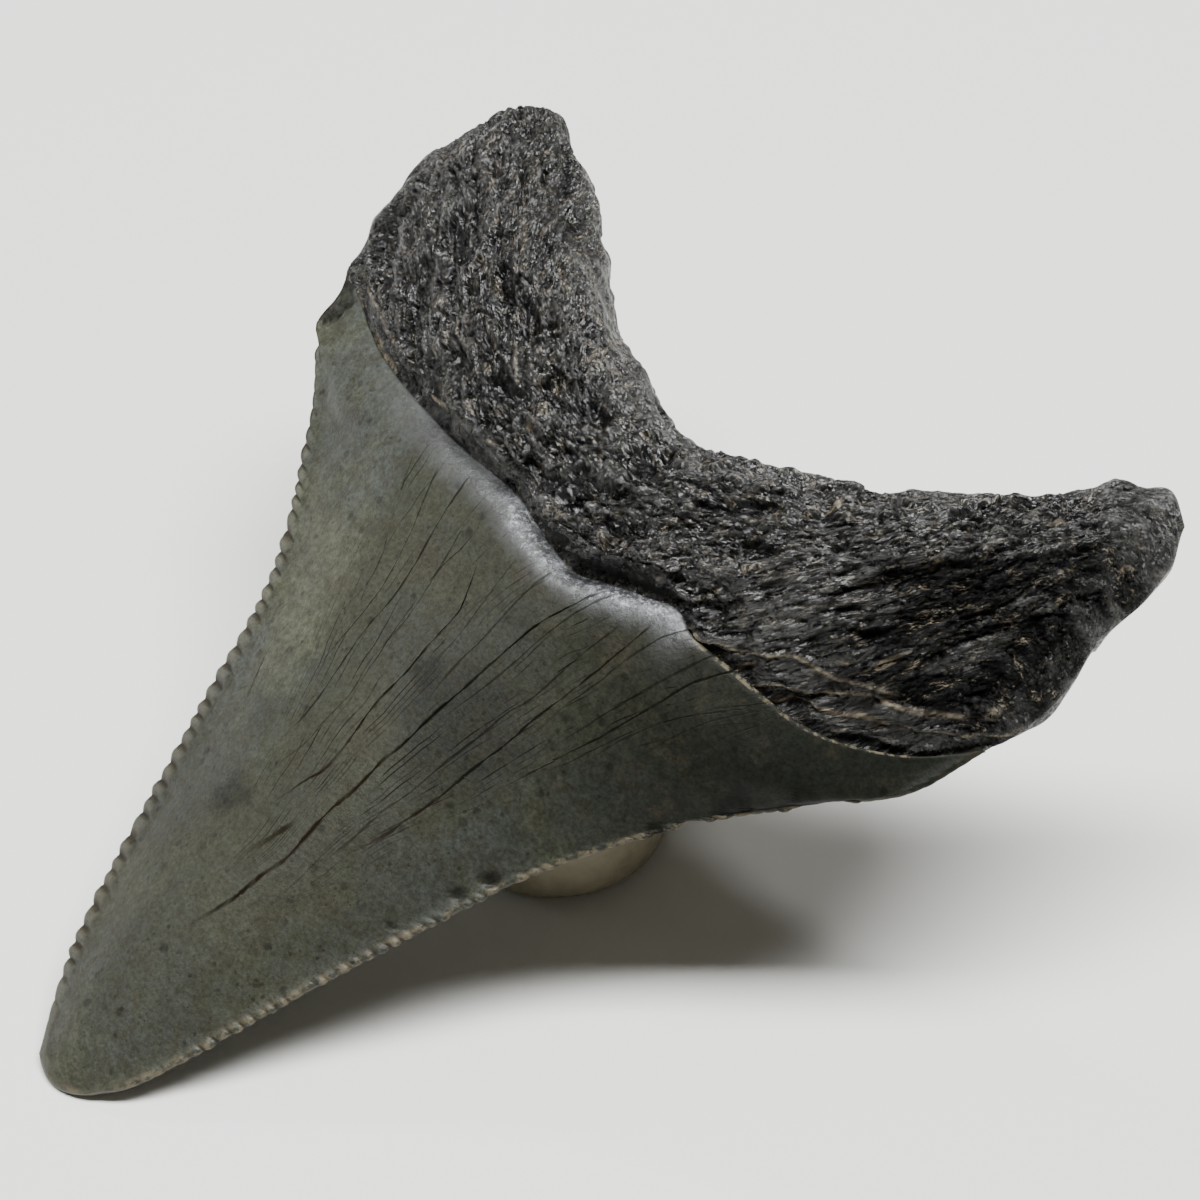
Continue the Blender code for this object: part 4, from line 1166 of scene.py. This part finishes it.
def rootFinish():
    n = FinishNodes("flaky root")
    grain = n.spot("grain")
    relief, smooth = n.field("relief"), n.field("smoothness")
    fibres = n.stretched(grain, (1.1, 1.8, 1.8))
    drift = n.put("ShaderNodeTexNoise", {"Vector": grain, "Scale": 1.1}, 1)
    bent = n.put("ShaderNodeVectorMath", {0: drift, 1: (0.8, 0.8, 0.8), 2: fibres},
                 operation="MULTIPLY_ADD")
    # painted shade: the hollows of the relief are darkened and the grey flecks go on the raised parts only;
    # partly the root's own dark and grey tones
    high = n.span(relief, -0.3, 0.14)
    fine = n.cloud(bent, 2.6, 6.0, 0.7)
    colour = n.blend(high, rootLook["dark"], rootLook["skin"])
    colour = n.blend(n.times(n.span(fine, 0.5, 0.66), high), colour, rootLook["worn"])
    # thin tan specks and fibres
    speck = n.math("ABSOLUTE", n.minus(n.cloud(n.shifted(bent, (5.0, 2.0, 8.0)), 1.3, 4.0, 0.6), 0.5))
    speck = n.times(n.minus(1.0, n.span(speck, 0.006, 0.022)),
                   n.span(n.cloud(grain, 1.3, 3.0), 0.50, 0.62))
    colour = n.blend(n.times(smooth, 0.75), colour, rootLook["smooth"])
    # painted shade: the side wall of the right lobe, which faces away from the light, is darkened and made
    # less glossy
    shadedWall = n.times(n.field("shadedWall"), n.minus(0.8, smooth))
    colour = n.blend(shadedWall, colour, rootLook["dark"])
    tan = n.times(n.field("tan"), n.span(n.cloud(grain, 3.6, 4.0, 0.65), 0.34, 0.5))
    tan = n.math("MAXIMUM", tan, n.times(speck, n.minus(0.8, smooth)))
    colour = n.blend(tan, colour, rootLook["tan"])
    rough = n.span(n.cloud(fibres, 1.2, 4.0), 0.3, 0.7, rootLook["roughness"] - 0.1,
                   rootLook["roughness"] + 0.18)
    # sharp tilted flakes
    normal = n.bump(n.cloud(bent, 4.4, 6.0, 0.72), 0.05)
    strength = n.minus(1.0, n.times(smooth, 0.85))
    for perMillimetre, depth in rootLook["flakes"]:
        cell = n.tree.nodes.new("ShaderNodeTexVoronoi")
        n.tree.links.new(bent, cell.inputs["Vector"])
        cell.inputs["Scale"].default_value = perMillimetre
        lean = n.put("ShaderNodeVectorMath", {0: cell.outputs["Color"], 1: (0.5, 0.32, 0.5)},
                     operation="SUBTRACT")
        offset = n.put("ShaderNodeVectorMath", {0: bent, 1: cell.outputs["Position"]}, operation="SUBTRACT")
        plane = n.put("ShaderNodeVectorMath", {0: lean, 1: offset}, "Value", operation="DOT_PRODUCT")
        height = n.times(n.times(plane, perMillimetre), strength)
        normal = n.bump(height, depth, normal)
    gloss = n.times(rootLook["gloss"], n.minus(1.0, n.times(shadedWall, 1.1)))
    gloss = n.times(gloss, n.minus(1.0, n.times(smooth, 0.5)))
    return n.finish(Base_Color=colour, Roughness=rough, Normal=normal, Specular_IOR_Level=gloss)


propLook = {
    # the putty's cream is kept dark: partly its own tone, partly painted shade, as it stands in the tooth's
    # shadow
    "cream": (0.235, 0.21, 0.14),
    "shade": (0.165, 0.145, 0.092),
}


def propFinish():
    n = FinishNodes("cream putty")
    place = n.spot("place")
    colour = n.blend(n.span(n.cloud(place, 0.5, 5.0, 0.6), 0.35, 0.7), propLook["cream"], propLook["shade"])
    rough = n.span(n.cloud(place, 1.4, 4.0), 0.3, 0.7, 0.5, 0.68)
    return n.finish(Base_Color=colour, Roughness=rough, Normal=n.bump(n.cloud(place, 3.0, 6.0, 0.6), 0.05))


crown = buildCrown()
root = buildRoot()
pose = poseOf([crown, root])
for thing, finishOf in ((crown, enamelFinish), (root, rootFinish)):
    thing.data.transform(pose)
    thing.data.materials.append(finishOf())
    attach(thing, "root")
    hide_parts("tooth")
prop = buildProp(crown)
prop.data.materials.append(propFinish())
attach(prop, "root")
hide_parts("prop")
print("pieces built")


studio = {
    "floorColour": (0.80, 0.80, 0.78),
    "floorShade": (0.74, 0.74, 0.72),
    "floorSize": 3.0,
    "aim": (-0.0000646, 0.011553, 0.0),
    "cameraDistance": 0.180574,
    "cameraRise": 44.0,
    "fieldOfView": 22.0,
    # direction, distance, width, depth and power of each soft light
    "lights": {"overhead": ((0.08, -0.07, 1.0), 0.6, 0.62, 0.15, 10.8),
               "low left": ((-0.85, 0.23, 0.47), 0.6, 0.25, 0.25, 0.4),
               "behind": ((-0.10, 0.58, 0.80), 0.6, 0.10, 0.04, 0.6)},
    "roomColour": (1.0, 0.95, 0.80, 1.0),
    "roomLight": 0.13,
}


def buildStudio():
    half = 0.5 * studio["floorSize"]
    corners = np.array([(-half, -half, 0), (half, -half, 0), (half, half, 0), (-half, half, 0)])
    floor = makeMesh("floor", corners, np.array([[0, 1, 2, 3]]), np.zeros((0, 3), int), False)
    n = FinishNodes("pale floor")
    wash = n.span(n.cloud(n.put("ShaderNodeTexCoord", {}, "Object"), 9.0, 3.0), 0.3, 0.7)
    colour = n.blend(n.times(wash, 0.02), studio["floorColour"], studio["floorShade"])
    floor.data.materials.append(n.finish(Base_Color=colour, Roughness=0.6))
    aim = Vector(studio["aim"])
    for name, (direction, distance, width, depth, power) in studio["lights"].items():
        lamp = bpy.data.lights.new(name, "AREA")
        lamp.shape = "RECTANGLE"
        lamp.size = width
        lamp.size_y = depth
        lamp.energy = power
        holder = bpy.data.objects.new(name, lamp)
        away = Vector(direction).normalized()
        holder.location = aim + away * distance
        across = (Vector((1.0, 0.0, 0.0)) - away * away.x).normalized()
        holder.rotation_euler = Matrix((across, away.cross(across), away)).transposed().to_euler()
        bpy.context.scene.collection.objects.link(holder)
    world = bpy.data.worlds.new("room")
    world.use_nodes = True
    background = world.node_tree.nodes["Background"]
    background.inputs["Color"].default_value = studio["roomColour"]
    background.inputs["Strength"].default_value = studio["roomLight"]
    bpy.context.scene.world = world
    camera = bpy.data.objects.new("camera", bpy.data.cameras.new("camera"))
    rise = math.radians(studio["cameraRise"])
    back = Vector((0.0, -math.cos(rise), math.sin(rise)))
    camera.location = aim + back * studio["cameraDistance"]
    camera.rotation_euler = back.to_track_quat("Z", "Y").to_euler()
    camera.data.sensor_width = 36.0
    camera.data.lens = 18.0 / math.tan(math.radians(0.5 * studio["fieldOfView"]))
    camera.data.clip_start = 0.005
    bpy.context.scene.collection.objects.link(camera)
    bpy.context.scene.camera = camera


buildStudio()
print("studio set")
